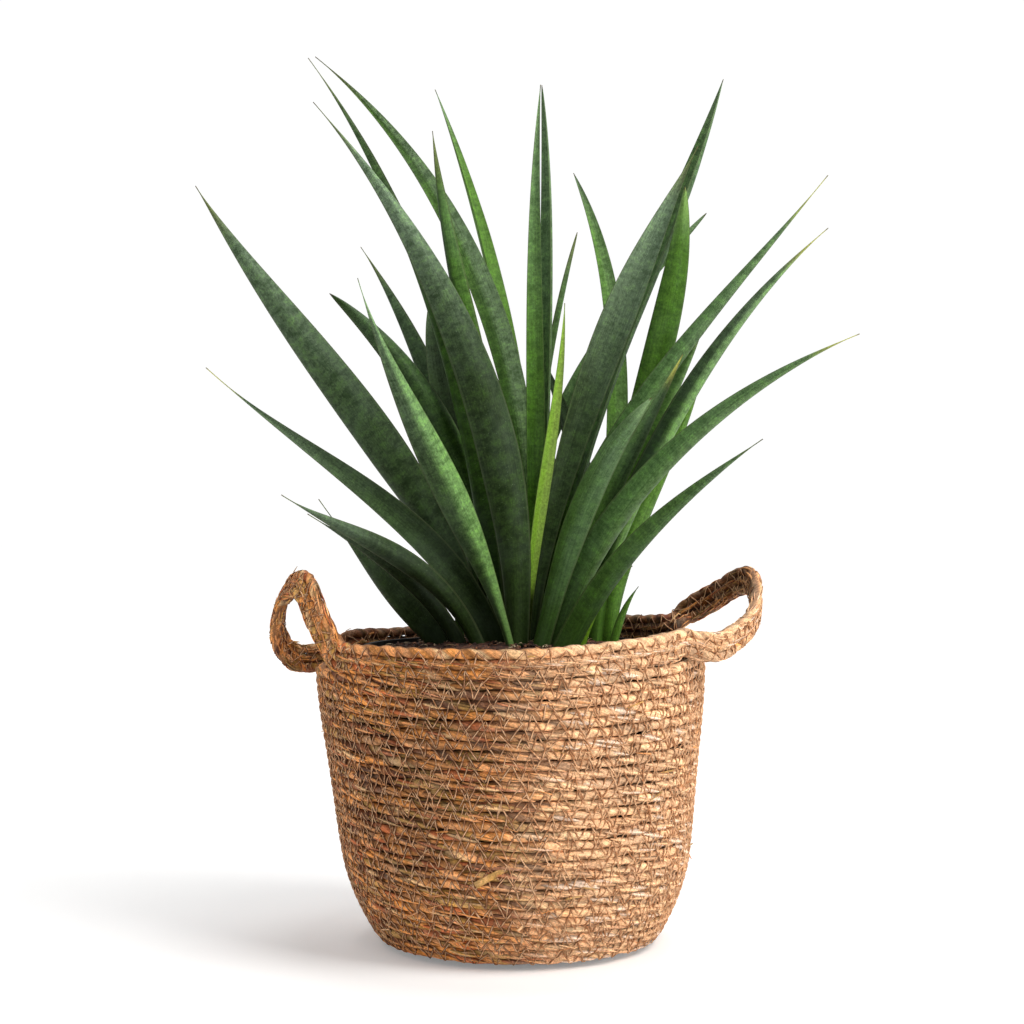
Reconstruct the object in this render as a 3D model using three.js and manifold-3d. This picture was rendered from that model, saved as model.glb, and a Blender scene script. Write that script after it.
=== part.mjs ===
// A potted star sansevieria in a round basket of coiled seagrass with two loop handles.
// Millimetres, +Z up. The origin is the middle of the basket's underside, and -Y is the front.
import * as THREE from 'three';
import { mergeVertices } from 'three/addons/utils/BufferGeometryUtils.js';
import Module from 'manifold-3d';

const wasm = await Module();
wasm.setup();

// Basket
const CORD = 5.7;
const WALL_THICK = 6.5;
const FOOT_RADIUS = 80;
const BASE_BEVEL = 0.6;
const WALL_TOP = 171;
const RIM_TOP = 188;
const TOP_RADIUS = 120.5;
const WALL_OUTLINE = [
  [84.5, 2],
  [89.5, 8],
  [93, 14],
  [99, 26],
  [103.5, 38],
  [107, 51],
  [110, 72],
  [112.5, 94],
  [115.5, 118],
  [118.5, 140],
  [120.3, 160],
  [TOP_RADIUS, WALL_TOP],
];
const LEAN = -5.5;
const LIFT = 12;
const LIFT_AT = 15;
const LIFT_SPREAD = 0.9;
const LIFT_FROM = 90;
const LIFT_SHAPE = 1.2;
const LIFT_EASE = 1.5;
const WALL_STEPS = 48;
const WALL_ROWS = 10;

// Handles and the sewn band between them
const STRAP_ROWS = 3;
const STRAP_WIDE = STRAP_ROWS * CORD - 0.6;
const STRAP_THICK = 6.2;
const STRAP_ROUND = 2;
const BAND_END = 38;
const BAND_STEPS = 16;
const HANDLE_STEPS = 28;
const HANDLE_RISE = 1.2;
const HANDLE_STEPS_OFF = [0.35, 4, 9];
const LEFT_HANDLE = [
  [-120, -46, 200],
  [-131, -24, 217],
  [-141, 0, 220],
  [-151, 15, 207],
  [-153, 28, 191],
  [-146, 41, 180],
  [-131, 56, 178],
];
const RIGHT_HANDLE = [
  [117, -50, 185],
  [132, -34, 190],
  [144, -18, 200],
  [148.5, 0, 213],
  [147, 14, 222],
  [140.5, 28, 221],
  [127.5, 46, 211],
  [112, 59, 201],
];

// Nursery pot and soil
const SEAT = 0.3;
const POT_RIM = 183;
const POT_RIM_RADIUS = 95;
const POT_FOOT_RADIUS = 69;
const POT_WALL = 1.6;
const POT_COLLAR = 9;
const POT_COLLAR_OUT = 2.2;
const DRAIN_RADIUS = 6;
const DRAIN_CIRCLE = 44;
const DRAIN_COUNT = 6;
const DRAIN_STEPS = 16;
const DRAIN_CUT = 20;
const SOIL_EDGE = 179;
const SOIL_MIDDLE = 185;
const SOIL_RINGS = [70, 40, 15, 0];
const POT_STEPS = 48;

// Leaves
const ROOT_DEPTH = 12;
const LEAF_STATIONS = 14;
const POCKET_GAP = 0.4;
const POCKET_TOP = 0.08;
const LEAF_THICK = 4.4;
const THICK_SHARE = 0.24;
const HOLLOW_ROOT = 0.3;
const HOLLOW_EASE = 0.14;
const HOLLOW_REACH = 1.2;
const EDGE_THICK = 0.2;
const BACK_CORNER = 0.72;
const BACK_ROUND = 0.62;
const POCKET_WIDER = 1.6;

// Shares of the four points of a leaf line in the handle beside its root, and back to front beside its tip
const HANDLE_BLEND = [-5 / 6, 3, -3 / 2, 1 / 3];

// Colours and roughness
const SEAGRASS = 0xb07c46;
const GRASS_ROUGH = 0.85;
const SEAGRASS_DARK = 0x96683a;
const POT_BLACK = 0x2a2523;
const POT_ROUGH = 0.6;
const SOIL_BROWN = 0x2c1c14;
const SOIL_ROUGH = 0.95;
const LEAF_GREENS = [0x2f5530, 0x3b6a34, 0x27482e, 0x4d7a36];
const LEAF_ROUGH = 0.45;

// Each leaf: its root on the soil (x and y), where it passes at a third and at two thirds, and its tip. Then
// its width at the foot, its full width, the share of its length where it is widest and how fast it tapers
// from there. Then the compass angles that its hollow face looks to at the root and at the tip.
const LEAVES = [
  {
    name: 'leaf_left_1',
    line: [[-18, 6], [-68, -2, 284], [-134, -12, 375], [-198, -25, 466]],
    width: [10, 25, 0.42, 1.4],
    faces: [60, 100],
  },
  {
    name: 'leaf_left_2',
    line: [[-14, -12], [-61, -21, 252], [-124, -39, 303], [-186, -60, 352]],
    width: [13.5, 17, 0.25, 2.2],
    faces: [-100, -75],
  },
  {
    name: 'leaf_left_3',
    line: [[-25, -16], [-57, -37, 228], [-98, -64, 254], [-137, -95, 276]],
    width: [10, 13, 0.4, 2],
    faces: [60, 110],
  },
  {
    name: 'leaf_left_4',
    line: [[-48, 10], [-76, -4, 215], [-100, -20, 244], [-121, -40, 274]],
    width: [17, 18, 0.15, 3],
    faces: [60, 90],
  },
  {
    name: 'leaf_left_5',
    line: [[-37, -1], [-63, -18, 220], [-93, -40, 244], [-125, -66, 265]],
    width: [11, 10.5, 0.3, 2],
    faces: [60, 100],
  },
  {
    name: 'leaf_left_6',
    line: [[-13, 27], [-27, 31, 268], [-64, 28, 344], [-121, 28, 406]],
    width: [9, 18, 0.55, 0.8],
    faces: [70, 120],
  },
  {
    name: 'leaf_left_7',
    line: [[-24, 46], [-33, 56, 275], [-61, 65, 363], [-105, 80, 443]],
    width: [12, 22, 0.4, 1.5],
    faces: [45, 40],
  },
  {
    name: 'leaf_front_1',
    line: [[-5, -30], [-33, -44, 260], [-66, -68, 330], [-93, -95, 401]],
    width: [5, 19, 0.42, 1.9],
    faces: [75, 120],
  },
  {
    name: 'leaf_front_2',
    line: [[-1, -20], [-13, -26, 305], [-56, -35, 416], [-124, -45, 513]],
    width: [14.5, 25.5, 0.33, 1.7],
    faces: [80, 115],
  },
  {
    name: 'leaf_mid_1',
    line: [[-10, 14], [-30, 17, 318], [-72, 33, 447], [-137, 50, 562]],
    width: [15, 18.5, 0.25, 1.5],
    faces: [30, 45],
  },
  {
    name: 'leaf_mid_2',
    line: [[2, 11], [1, 19, 324], [-44, 24, 454], [-131, 34, 559]],
    width: [11, 16.5, 0.45, 1.5],
    faces: [-60, -110],
  },
  {
    name: 'leaf_mid_3',
    line: [[-17, 34], [-28, 36, 258], [-47, 38, 330], [-56, 40, 403]],
    width: [11, 13, 0.65, 0.5],
    faces: [-70, -110],
  },
  {
    name: 'leaf_mid_4',
    line: [[0, 0], [-11, -6, 291], [-34, -12, 396], [-53, -18, 501]],
    width: [13.5, 15.5, 0.5, 1.1],
    faces: [40, 60],
  },
  {
    name: 'leaf_mid_5',
    line: [[4, 24], [4, 36, 308], [-17, 52, 430], [-55, 70, 546]],
    width: [13.5, 15.5, 0.4, 1.1],
    faces: [-35, -40],
  },
  {
    name: 'leaf_mid_6',
    line: [[8, 3], [11, 2, 302], [10, 4, 418], [14, 6, 535]],
    width: [10, 11.5, 0.35, 1],
    faces: [-90, -95],
  },
  {
    name: 'leaf_mid_7',
    line: [[8, 18], [13, 21, 303], [17, 25, 422], [15, 30, 540]],
    width: [16, 16, 0.1, 0.7],
    faces: [-150, -140],
  },
  {
    name: 'leaf_mid_8',
    line: [[3, 44], [9, 62, 276], [20, 78, 367], [40, 95, 455]],
    width: [6.5, 6.5, 0.6, 0.6],
    faces: [150, 150],
  },
  {
    name: 'leaf_mid_9',
    line: [[48, 41], [50, 43, 251], [35, 44, 316], [10, 45, 378]],
    width: [26, 28, 0.15, 1.5],
    faces: [-20, -60],
  },
  {
    name: 'leaf_young_1',
    line: [[5, -15], [12, -23, 256], [22, -29, 324], [28, -36, 393]],
    width: [4, 8, 0.45, 1.1],
    faces: [-80, -70],
  },
  {
    name: 'leaf_right_1',
    line: [[8, -8], [29, -10, 292], [65, -12, 395], [111, -15, 492]],
    width: [6.5, 21, 0.6, 1.6],
    faces: [-60, -100],
  },
  {
    name: 'leaf_right_2',
    line: [[19, 20], [40, 24, 309], [85, 29, 428], [132, 35, 545]],
    width: [19.5, 24, 0.45, 1],
    faces: [-150, -150],
  },
  {
    name: 'leaf_right_3',
    line: [[49, 20], [66, 25, 282], [91, 22, 376], [106, 20, 473]],
    width: [9.5, 18.5, 0.65, 0.8],
    faces: [110, 80],
  },
  {
    name: 'leaf_right_4',
    line: [[13, 37], [14, 52, 291], [58, 62, 383], [125, 70, 464]],
    width: [10, 11, 0.4, 0.6],
    faces: [-50, -50],
  },
  {
    name: 'leaf_right_5',
    line: [[19, 4], [53, 0, 295], [119, -2, 389], [193, -5, 476]],
    width: [13, 16.5, 0.2, 1.6],
    faces: [120, 90],
  },
  {
    name: 'leaf_right_6',
    line: [[35, 10], [55, 8, 256], [87, 10, 323], [118, 8, 389]],
    width: [11, 12.5, 0.3, 0.8],
    faces: [110, 100],
  },
  {
    name: 'leaf_right_7',
    line: [[28, -8], [45, -11, 248], [71, -21, 306], [100, -32, 362]],
    width: [9.5, 11.5, 0.4, 1],
    faces: [-70, -80],
  },
  {
    name: 'leaf_right_8',
    line: [[14, -26], [29, -35, 240], [49, -43, 290], [79, -60, 334]],
    width: [11.5, 17, 0.5, 0.8],
    faces: [60, 80],
  },
  {
    name: 'leaf_right_9',
    line: [[37, 4], [74, 0, 281], [124, -6, 368], [192, -12, 442]],
    width: [12, 14, 0.35, 1.4],
    faces: [120, 100],
  },
  {
    name: 'leaf_right_10',
    line: [[57, 28], [71, 29, 244], [95, 28, 300], [118, 26, 356]],
    width: [10.5, 11.5, 0.35, 1],
    faces: [110, 90],
  },
  {
    name: 'leaf_right_11',
    line: [[22, -18], [61, -31, 266], [125, -49, 329], [201, -70, 371]],
    width: [17.5, 18, 0.15, 1.5],
    faces: [120, 100],
  },
  {
    name: 'leaf_right_12',
    line: [[29, -27], [60, -45, 235], [98, -71, 275], [140, -100, 308]],
    width: [16, 15.5, 0.1, 1.5],
    faces: [110, 100],
  },
  {
    name: 'leaf_right_13',
    line: [[60, 17], [64, 16, 196], [69, 15, 208], [76, 13, 219]],
    width: [6, 6, 0.05, 1.2],
    faces: [120, 100],
  },
  {
    name: 'leaf_right_14',
    line: [[39, -8], [47, -11, 204], [57, -15, 220], [70, -20, 233]],
    width: [5.5, 5.5, 0.15, 2],
    faces: [150, 150],
  },
  {
    name: 'leaf_right_15',
    line: [[51, 34], [62, 38, 287], [62, 46, 390], [36, 55, 488]],
    width: [10.5, 14, 0.45, 0.8],
    faces: [-80, -70],
  },
  {
    name: 'leaf_back_1',
    line: [[-14, 52], [-19, 83, 251], [-24, 121, 309], [-29, 160, 345]],
    width: [8, 17, 0.4, 1.5],
    faces: [-100, -80],
  },
  {
    name: 'leaf_back_2',
    line: [[24, 54], [22, 84, 250], [19, 121, 303], [15, 155, 335]],
    width: [8.5, 18, 0.4, 1.5],
    faces: [-70, -110],
  },
  {
    name: 'leaf_back_3',
    line: [[-38, 42], [-36, 70, 232], [-33, 105, 268], [-28, 140, 290]],
    width: [7, 15, 0.4, 1.5],
    faces: [-60, -80],
  },
  {
    name: 'leaf_back_4',
    line: [[44, 60], [54, 82, 226], [66, 110, 259], [70, 142, 290]],
    width: [7, 15, 0.4, 1.5],
    faces: [-120, -100],
  },
];

const DEG = Math.PI / 180;

// How far the hand-pulled rim stands up at a compass angle, in mm: a wide soft bump.
function rimLift(angle) {
  const c = Math.cos((angle - LIFT_AT * DEG) * LIFT_SPREAD);
  return LIFT * Math.max(0, c) ** LIFT_SHAPE;
}

// The basket leans a little, and its upper rows follow the lifted rim.
function basketPoint(x, y, z) {
  const angle = Math.atan2(y, x);
  const high = Math.max(0, (z - LIFT_FROM) / (RIM_TOP - LIFT_FROM));
  return new THREE.Vector3(x + (LEAN * z) / RIM_TOP, y, z + rimLift(angle) * high ** LIFT_EASE);
}

function bendWithBasket(geometry) {
  const p = geometry.getAttribute('position');
  for (let i = 0; i < p.count; i += 1) {
    const q = basketPoint(p.getX(i), p.getY(i), p.getZ(i));
    p.setXYZ(i, q.x, q.y, q.z);
  }
  return geometry;
}

function lathe(outline, steps) {
  const points = outline.map(([r, z]) => new THREE.Vector2(r, z));
  return new THREE.LatheGeometry(points, steps).rotateX(Math.PI / 2);
}

// A closed body through a row of rings with equal numbers of points. The last ring may be one point.
function loft(rings, section) {
  const around = rings[0].length;
  const positions = [];
  const index = [];
  rings.forEach((ring) => ring.forEach((q) => positions.push(q.x, q.y, q.z)));
  for (let r = 0; r < rings.length - 1; r += 1) {
    const toPoint = rings[r + 1].length === 1;
    for (let k = 0; k < around; k += 1) {
      const a = r * around + k;
      const b = r * around + ((k + 1) % around);
      const c = (r + 1) * around + (toPoint ? 0 : k);
      const d = (r + 1) * around + ((k + 1) % around);
      index.push(a, b, c);
      if (!toPoint) index.push(b, d, c);
    }
  }
  const lid = THREE.ShapeUtils.triangulateShape(section, []);
  lid.forEach(([i, j, k]) => index.push(k, j, i));
  if (rings.at(-1).length > 1) {
    const last = (rings.length - 1) * around;
    lid.forEach(([i, j, k]) => index.push(last + i, last + j, last + k));
  }
  const geometry = new THREE.BufferGeometry();
  geometry.setAttribute('position', new THREE.Float32BufferAttribute(positions, 3));
  geometry.setIndex(index);
  return geometry;
}

function toSolid(geometry) {
  const bare = new THREE.BufferGeometry();
  bare.setAttribute('position', geometry.getAttribute('position').clone());
  bare.setIndex(geometry.getIndex());
  const merged = mergeVertices(bare, 1e-4);
  const vertProperties = merged.getAttribute('position').array;
  const triVerts = new Uint32Array(merged.getIndex().array);
  return new wasm.Manifold(new wasm.Mesh({ numProp: 3, vertProperties, triVerts }));
}

function toGeometry(solid) {
  const mesh = solid.getMesh();
  const geometry = new THREE.BufferGeometry();
  geometry.setAttribute('position', new THREE.BufferAttribute(mesh.vertProperties, 3));
  geometry.setIndex(new THREE.BufferAttribute(mesh.triVerts, 1));
  return geometry;
}

// Basket wall: the outer outline, and the same outline moved in by the cord's thickness.
function wallGeometry() {
  const outer = new THREE.SplineCurve(WALL_OUTLINE.map(([r, z]) => new THREE.Vector2(r, z)));
  const rows = outer.getPoints(WALL_ROWS);
  const inner = rows.map((p, i) => {
    const t = outer.getTangent(i / (rows.length - 1));
    return new THREE.Vector2(p.x - t.y * WALL_THICK, p.y + t.x * WALL_THICK);
  });
  inner[0].set(FOOT_RADIUS - 1, WALL_THICK);
  inner[inner.length - 1].y = WALL_TOP;
  const ring = [[FOOT_RADIUS, 0], ...rows.map((p) => [p.x, p.y])];
  ring.push(...inner.reverse().map((p) => [p.x, p.y]), [FOOT_RADIUS, 0]);
  return bendWithBasket(lathe(ring, WALL_STEPS));
}

// Basket base: a flat coiled disc inside the wall's foot.
function baseGeometry() {
  const edge = FOOT_RADIUS - 1 - SEAT;
  const disc = [[0, 0], [edge, 0], [edge - BASE_BEVEL, WALL_THICK], [0, WALL_THICK]];
  return lathe(disc, WALL_STEPS);
}

// Strap section: a flat bar with rounded edges, x along its thickness and y along its width.
function strapSection() {
  const x = STRAP_THICK / 2;
  const y = STRAP_WIDE / 2;
  const r = STRAP_ROUND;
  const quarter = [[x, y - r], [x - r, y], [r - x, y], [-x, y - r]];
  const half = quarter.map(([a, b]) => new THREE.Vector2(a, b));
  return [...half, ...half.map((p) => p.clone().negate())];
}

// A strap along a curve. Its flat outer face looks away from the basket's axis.
function strapGeometry(curve, steps) {
  const section = strapSection();
  const rings = [];
  for (let i = 0; i <= steps; i += 1) {
    const at = curve.getPointAt(i / steps);
    const along = curve.getTangentAt(i / steps);
    const out = new THREE.Vector3(at.x, at.y, 0).normalize();
    out.addScaledVector(along, -out.dot(along)).normalize();
    const up = new THREE.Vector3().crossVectors(along, out);
    const place = (p) => at.clone().addScaledVector(out, p.x).addScaledVector(up, p.y);
    rings.push(section.map(place));
  }
  return loft(rings, section);
}

// Middle of the band at a compass angle in degrees.
function bandPoint(degrees) {
  const r = TOP_RADIUS - STRAP_THICK / 2;
  const z = WALL_TOP + SEAT + STRAP_WIDE / 2;
  return basketPoint(r * Math.cos(degrees * DEG), r * Math.sin(degrees * DEG), z);
}

function bandGeometry(from, to) {
  const points = [];
  for (let i = 0; i <= BAND_STEPS; i += 1) points.push(bandPoint(from + ((to - from) * i) / BAND_STEPS));
  return strapGeometry(new THREE.CatmullRomCurve3(points), BAND_STEPS);
}

// A handle leaves the band's end along the wall, bows out and comes back to the other end. Its first and
// last three points lie on the band's line, at a few degrees from the band's ends.
function handleGeometry(middle, from, to, turn) {
  const start = HANDLE_STEPS_OFF.map((step) => bandPoint(from + step * turn));
  const end = HANDLE_STEPS_OFF.map((step) => bandPoint(to - step * turn)).reverse();
  start[2].z += HANDLE_RISE;
  end[0].z += HANDLE_RISE;
  const bow = middle.map((p) => new THREE.Vector3(...p));
  const curve = new THREE.CatmullRomCurve3([...start, ...bow, ...end]);
  return strapGeometry(curve, HANDLE_STEPS);
}

// Nursery pot: a thin tapered cup with a collar, open above, with drain holes in its floor.
function potSolid() {
  const foot = WALL_THICK + SEAT;
  const collarAt = POT_RIM - POT_COLLAR;
  const cup = toSolid(
    lathe(
      [
        [0, foot],
        [POT_FOOT_RADIUS, foot],
        [POT_RIM_RADIUS, collarAt],
        [POT_RIM_RADIUS + POT_COLLAR_OUT, collarAt],
        [POT_RIM_RADIUS + POT_COLLAR_OUT, POT_RIM],
        [POT_RIM_RADIUS - POT_WALL, POT_RIM],
        [POT_RIM_RADIUS - POT_WALL, collarAt],
        [POT_FOOT_RADIUS - POT_WALL, foot + POT_WALL],
        [0, foot + POT_WALL],
      ],
      POT_STEPS,
    ),
  );
  const hole = [[0, 0], [DRAIN_RADIUS, 0], [DRAIN_RADIUS, DRAIN_CUT], [0, DRAIN_CUT]];
  const drain = lathe(hole, DRAIN_STEPS);
  let pot = cup;
  for (let i = 0; i < DRAIN_COUNT; i += 1) {
    const a = (i / DRAIN_COUNT) * 2 * Math.PI;
    const x = DRAIN_CIRCLE * Math.cos(a);
    const y = DRAIN_CIRCLE * Math.sin(a);
    pot = pot.subtract(toSolid(drain.clone().translate(x, y, 0)));
  }
  return pot;
}

// Height of the soil, a low dome, at a distance from the middle.
function soilHeight(r) {
  return SOIL_MIDDLE - (SOIL_MIDDLE - SOIL_EDGE) * (r / POT_RIM_RADIUS) ** 2;
}

function soilOutline() {
  const foot = WALL_THICK + POT_WALL + 2 * SEAT;
  const collarAt = POT_RIM - POT_COLLAR;
  const inside = POT_RIM_RADIUS - POT_WALL - SEAT;
  const dome = [inside, ...SOIL_RINGS].map((r) => [r, soilHeight(r)]);
  return [[0, foot], [POT_FOOT_RADIUS - POT_WALL - SEAT, foot], [inside, collarAt - 1], ...dome];
}

// Leaf middle line: a cubic through the root, the two passing points and the tip. Each of its handles is a
// blend of those four points.
function leafCurve(line) {
  const [x, y] = line[0];
  const points = [new THREE.Vector3(x, y, soilHeight(Math.hypot(x, y)))];
  line.slice(1).forEach((p) => points.push(new THREE.Vector3(...p)));
  const handle = (shares) => {
    const sum = new THREE.Vector3();
    points.forEach((p, i) => sum.addScaledVector(p, shares[i]));
    return sum;
  };
  const early = handle(HANDLE_BLEND);
  const late = handle(HANDLE_BLEND.toReversed());
  return new THREE.CubicBezierCurve3(points[0], early, late, points[3]);
}

// Width at t: it grows softly from the foot to the widest place, then tapers to nothing at the tip.
function leafWidth([foot, full, widest, taper], t) {
  const s = Math.min(Math.max(t, 0), 1);
  if (s < widest) return foot + (full - foot) * THREE.MathUtils.smoothstep(s, 0, widest);
  return full * (1 - ((s - widest) / (1 - widest)) ** 2) ** taper;
}

// Crescent section, x along the width and y towards the hollow face.
function leafSection(leaf, t, grow) {
  const w = leafWidth(leaf.width, t);
  const flatten = Math.sin(Math.PI * Math.min(t * HOLLOW_REACH, 1));
  const hollow = w * (HOLLOW_ROOT - HOLLOW_EASE * flatten);
  const thick = Math.min(LEAF_THICK, THICK_SHARE * w) + EDGE_THICK;
  const h = w / 2 + POCKET_WIDER * grow;
  const shoulder = -hollow / 2 - thick * BACK_ROUND - grow;
  const points = [
    [h, grow],
    [0, grow - hollow],
    [-h, grow],
    [-h * BACK_CORNER, shoulder],
    [0, -hollow - thick - grow],
    [h * BACK_CORNER, shoulder],
  ];
  return points.map(([x, y]) => new THREE.Vector2(x, y));
}

// The frame on the middle line: the hollow face looks to the leaf's compass angle.
function leafFrame(curve, leaf, t) {
  const at = curve.getPoint(t);
  const along = curve.getTangent(t);
  const [atRoot, atTip] = leaf.faces;
  const angle = (atRoot + (atTip - atRoot) * t) * DEG;
  const face = new THREE.Vector3(Math.cos(angle), Math.sin(angle), 0);
  face.addScaledVector(along, -face.dot(along)).normalize();
  const side = new THREE.Vector3().crossVectors(face, along);
  return { at, along, face, side };
}

function leafRing(curve, leaf, t, section, sink) {
  const { at, along, face, side } = leafFrame(curve, leaf, t);
  const centre = at.addScaledVector(along, -sink);
  return section.map((p) => centre.clone().addScaledVector(side, p.x).addScaledVector(face, p.y));
}

function leafGeometry(leaf) {
  const curve = leafCurve(leaf.line);
  const rootSection = leafSection(leaf, 0, 0);
  const rings = [leafRing(curve, leaf, 0, rootSection, ROOT_DEPTH)];
  for (let i = 0; i < LEAF_STATIONS; i += 1) {
    const t = i / LEAF_STATIONS;
    rings.push(leafRing(curve, leaf, t, leafSection(leaf, t, 0), 0));
  }
  rings.push([curve.getPoint(1)]);
  return loft(rings, rootSection);
}

// The hole that a leaf's root fills in the soil, wider than the root by the gap.
function pocketGeometry(leaf) {
  const curve = leafCurve(leaf.line);
  const section = leafSection(leaf, 0, POCKET_GAP);
  const above = leafSection(leaf, POCKET_TOP, POCKET_GAP);
  const rings = [
    leafRing(curve, leaf, 0, section, ROOT_DEPTH + POCKET_GAP),
    leafRing(curve, leaf, 0, section, 0),
    leafRing(curve, leaf, POCKET_TOP, above, 0),
  ];
  return loft(rings, section);
}

function soilSolid() {
  let soil = toSolid(lathe(soilOutline(), POT_STEPS));
  LEAVES.forEach((leaf) => {
    soil = soil.subtract(toSolid(pocketGeometry(leaf)));
  });
  const pieces = soil.decompose();
  pieces.sort((a, b) => b.volume() - a.volume());
  return pieces[0];
}

const part = new THREE.Group();

function add(name, geometry, color, roughness) {
  const material = new THREE.MeshStandardMaterial({ color, roughness, metalness: 0 });
  const mesh = new THREE.Mesh(geometry, material);
  mesh.name = name;
  part.add(mesh);
}

add('basket_base', baseGeometry(), SEAGRASS_DARK, GRASS_ROUGH);
add('basket_wall', wallGeometry(), SEAGRASS, GRASS_ROUGH);
add('rim_band_front', bandGeometry(-180 + BAND_END, -BAND_END), SEAGRASS, GRASS_ROUGH);
add('rim_band_back', bandGeometry(BAND_END, 180 - BAND_END), SEAGRASS_DARK, GRASS_ROUGH);
add('handle_left', handleGeometry(LEFT_HANDLE, -180 + BAND_END, 180 - BAND_END, -1), SEAGRASS, GRASS_ROUGH);
add('handle_right', handleGeometry(RIGHT_HANDLE, -BAND_END, BAND_END, 1), SEAGRASS, GRASS_ROUGH);
add('nursery_pot', toGeometry(potSolid()), POT_BLACK, POT_ROUGH);
add('soil', toGeometry(soilSolid()), SOIL_BROWN, SOIL_ROUGH);
LEAVES.forEach((leaf, i) => {
  add(leaf.name, leafGeometry(leaf), LEAF_GREENS[i % LEAF_GREENS.length], LEAF_ROUGH);
});

export default part;
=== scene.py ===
"""A potted star sansevieria in a coiled seagrass basket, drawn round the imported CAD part.

Everything is in metres in the part's own frame: the origin is the middle of the basket's underside,
+Z is up and -Y is the front. The sizes in the tables are in millimetres and are scaled by MM.
"""

import bpy
import numpy as np
from mathutils import Matrix
from bpy.props import FloatProperty, FloatVectorProperty, IntProperty, PointerProperty


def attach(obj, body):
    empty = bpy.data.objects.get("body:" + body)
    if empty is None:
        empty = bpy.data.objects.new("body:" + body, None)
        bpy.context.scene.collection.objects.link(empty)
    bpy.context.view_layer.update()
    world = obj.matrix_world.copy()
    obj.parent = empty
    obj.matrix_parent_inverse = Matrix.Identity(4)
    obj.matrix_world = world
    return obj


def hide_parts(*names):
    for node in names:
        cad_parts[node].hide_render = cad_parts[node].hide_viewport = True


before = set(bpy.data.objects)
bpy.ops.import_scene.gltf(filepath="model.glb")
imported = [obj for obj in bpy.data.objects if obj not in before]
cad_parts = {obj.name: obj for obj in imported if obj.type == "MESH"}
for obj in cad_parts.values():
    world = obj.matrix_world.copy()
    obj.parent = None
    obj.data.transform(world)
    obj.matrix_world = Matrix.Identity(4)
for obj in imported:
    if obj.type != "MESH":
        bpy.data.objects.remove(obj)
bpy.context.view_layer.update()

bl_info = {
    "name": "Potted star sansevieria",
    "version": (1, 0, 0),
    "blender": (4, 5, 0),
    "location": "View3D > Sidebar > Sansevieria",
    "description": "Builds the plant, its soil and its seagrass basket on the packed part",
    "category": "Object",
}

MM = 0.001
TAU = 2 * np.pi

# Basket sizes, as in the part
CORD = 5.7
FOOT_RADIUS = 80
WALL_TOP = 171
RIM_TOP = 188
TOP_RADIUS = 120.5
SEAT = 0.3
WALL_OUTLINE = [
    (84.5, 2), (89.5, 8), (93, 14), (99, 26), (103.5, 38), (107, 51), (110, 72), (112.5, 94),
    (115.5, 118), (118.5, 140), (120.3, 160), (TOP_RADIUS, WALL_TOP),
]
LEAN = -5.5
LIFT = 12
LIFT_AT = np.radians(15)
LIFT_SPREAD = 0.9
LIFT_FROM = 90
LIFT_SHAPE = 1.2
LIFT_EASE = 1.5
STRAP_ROWS = 3
STRAP_WIDE = STRAP_ROWS * CORD - 0.6
STRAP_THICK = 6.2
BAND_END = 38
HANDLE_RISE = 1.2
HANDLE_STEPS_OFF = (0.35, 4, 9)
RIGHT_HANDLE = [
    (117, -50, 185), (132, -34, 190), (144, -18, 200), (148.5, 0, 213), (147, 14, 222),
    (140.5, 28, 221), (127.5, 46, 211), (112, 59, 201),
]

# The left handle's middle line, up to 7 mm lower than the part's towards its far leg, and how many degrees
# its near leg is rolled
LEFT_HANDLE = [
    (-120, -46, 200), (-131, -24, 219.5), (-141, 0, 219.5), (-151, 15, 205), (-153, 28, 186),
    (-146, 41, 173), (-131, 56, 171),
]
NEAR_LEG_ROLL = 28

# Cords, blades and threads of the visible basket
ROW_STEPS = 8
CORD_PROUD = 0.1
BASE_SEED = 71
COIL_START = 0.35
COIL_END = 0.5
COIL_STEPS = 1400
STRAP_PITCH = CORD - 0.25
STRAP_SIDES = 12
TOP_ROW_RAISE = 0.45
BAND_STEPS = 130
HANDLE_STEPS = 150
INNER_SEAMS = 5
INNER_DEPTH = 2.08
ZIGZAG_LEG = np.array([0.0, 0.12, 0.38, 0.5, 0.62, 0.88])
HANDLE_FROM = 108
EDGE_TURN = 1.5
FRAYS = 340
WALL_FRAYS = 150

# A cord's form: how far it is pinched in, how thick it is and how soon it turns against the settings, how
# much taller than wide it is, how long a closed cord's join is, over what length and how far its turn, its
# strands' thickness and its middle line wander, and how its seed moves it through the noise and the fibre
PINCH = 0.68
BASE_PINCH = 0.7
STRAP_PINCH = 0.8
BASE_THICK = 0.98
LOW_ROWS_THICK = 1.07
TOP_ROW_THICK = 1.03
STRAP_LAY = 0.62
TALLER = 1.04
JOIN = 12
TURN_LENGTH, TURN_WANDER = 27, 1.5
SWELL_LENGTH, SWELL = 11, 0.46
SHIFT_LENGTH, SHIFT = 16, 0.55
BLADE_KINDS = 4096
SEED_APART = (7.3, 3.7)

# Threads: how far a corner strays along and up, how deep a stitch dips at its seam and dives at its ends, and
# how the strap's stitches are longer and lower, tucked in at its lower edge and bent in at its upper edge
CORNER_STRAY = 0.48
CORNER_RISE = (0.72, 0.38)
SEAM_DIP, SEAM_WIDE = 0.75, 1.2
END_DIP, END_WIDE = 1.5, 1.0
THREAD_HIGH = 0.5
STRAP_PERIOD = 1.08
STRAP_REACH = 0.95
STRAP_EDGE = -8.2
TUCK_FROM, TUCK_DEEP = (-7.4, -8.4), 2.2
BEND_FROM, BEND_DEEP = (7.0, 8.6), 1.7

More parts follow.
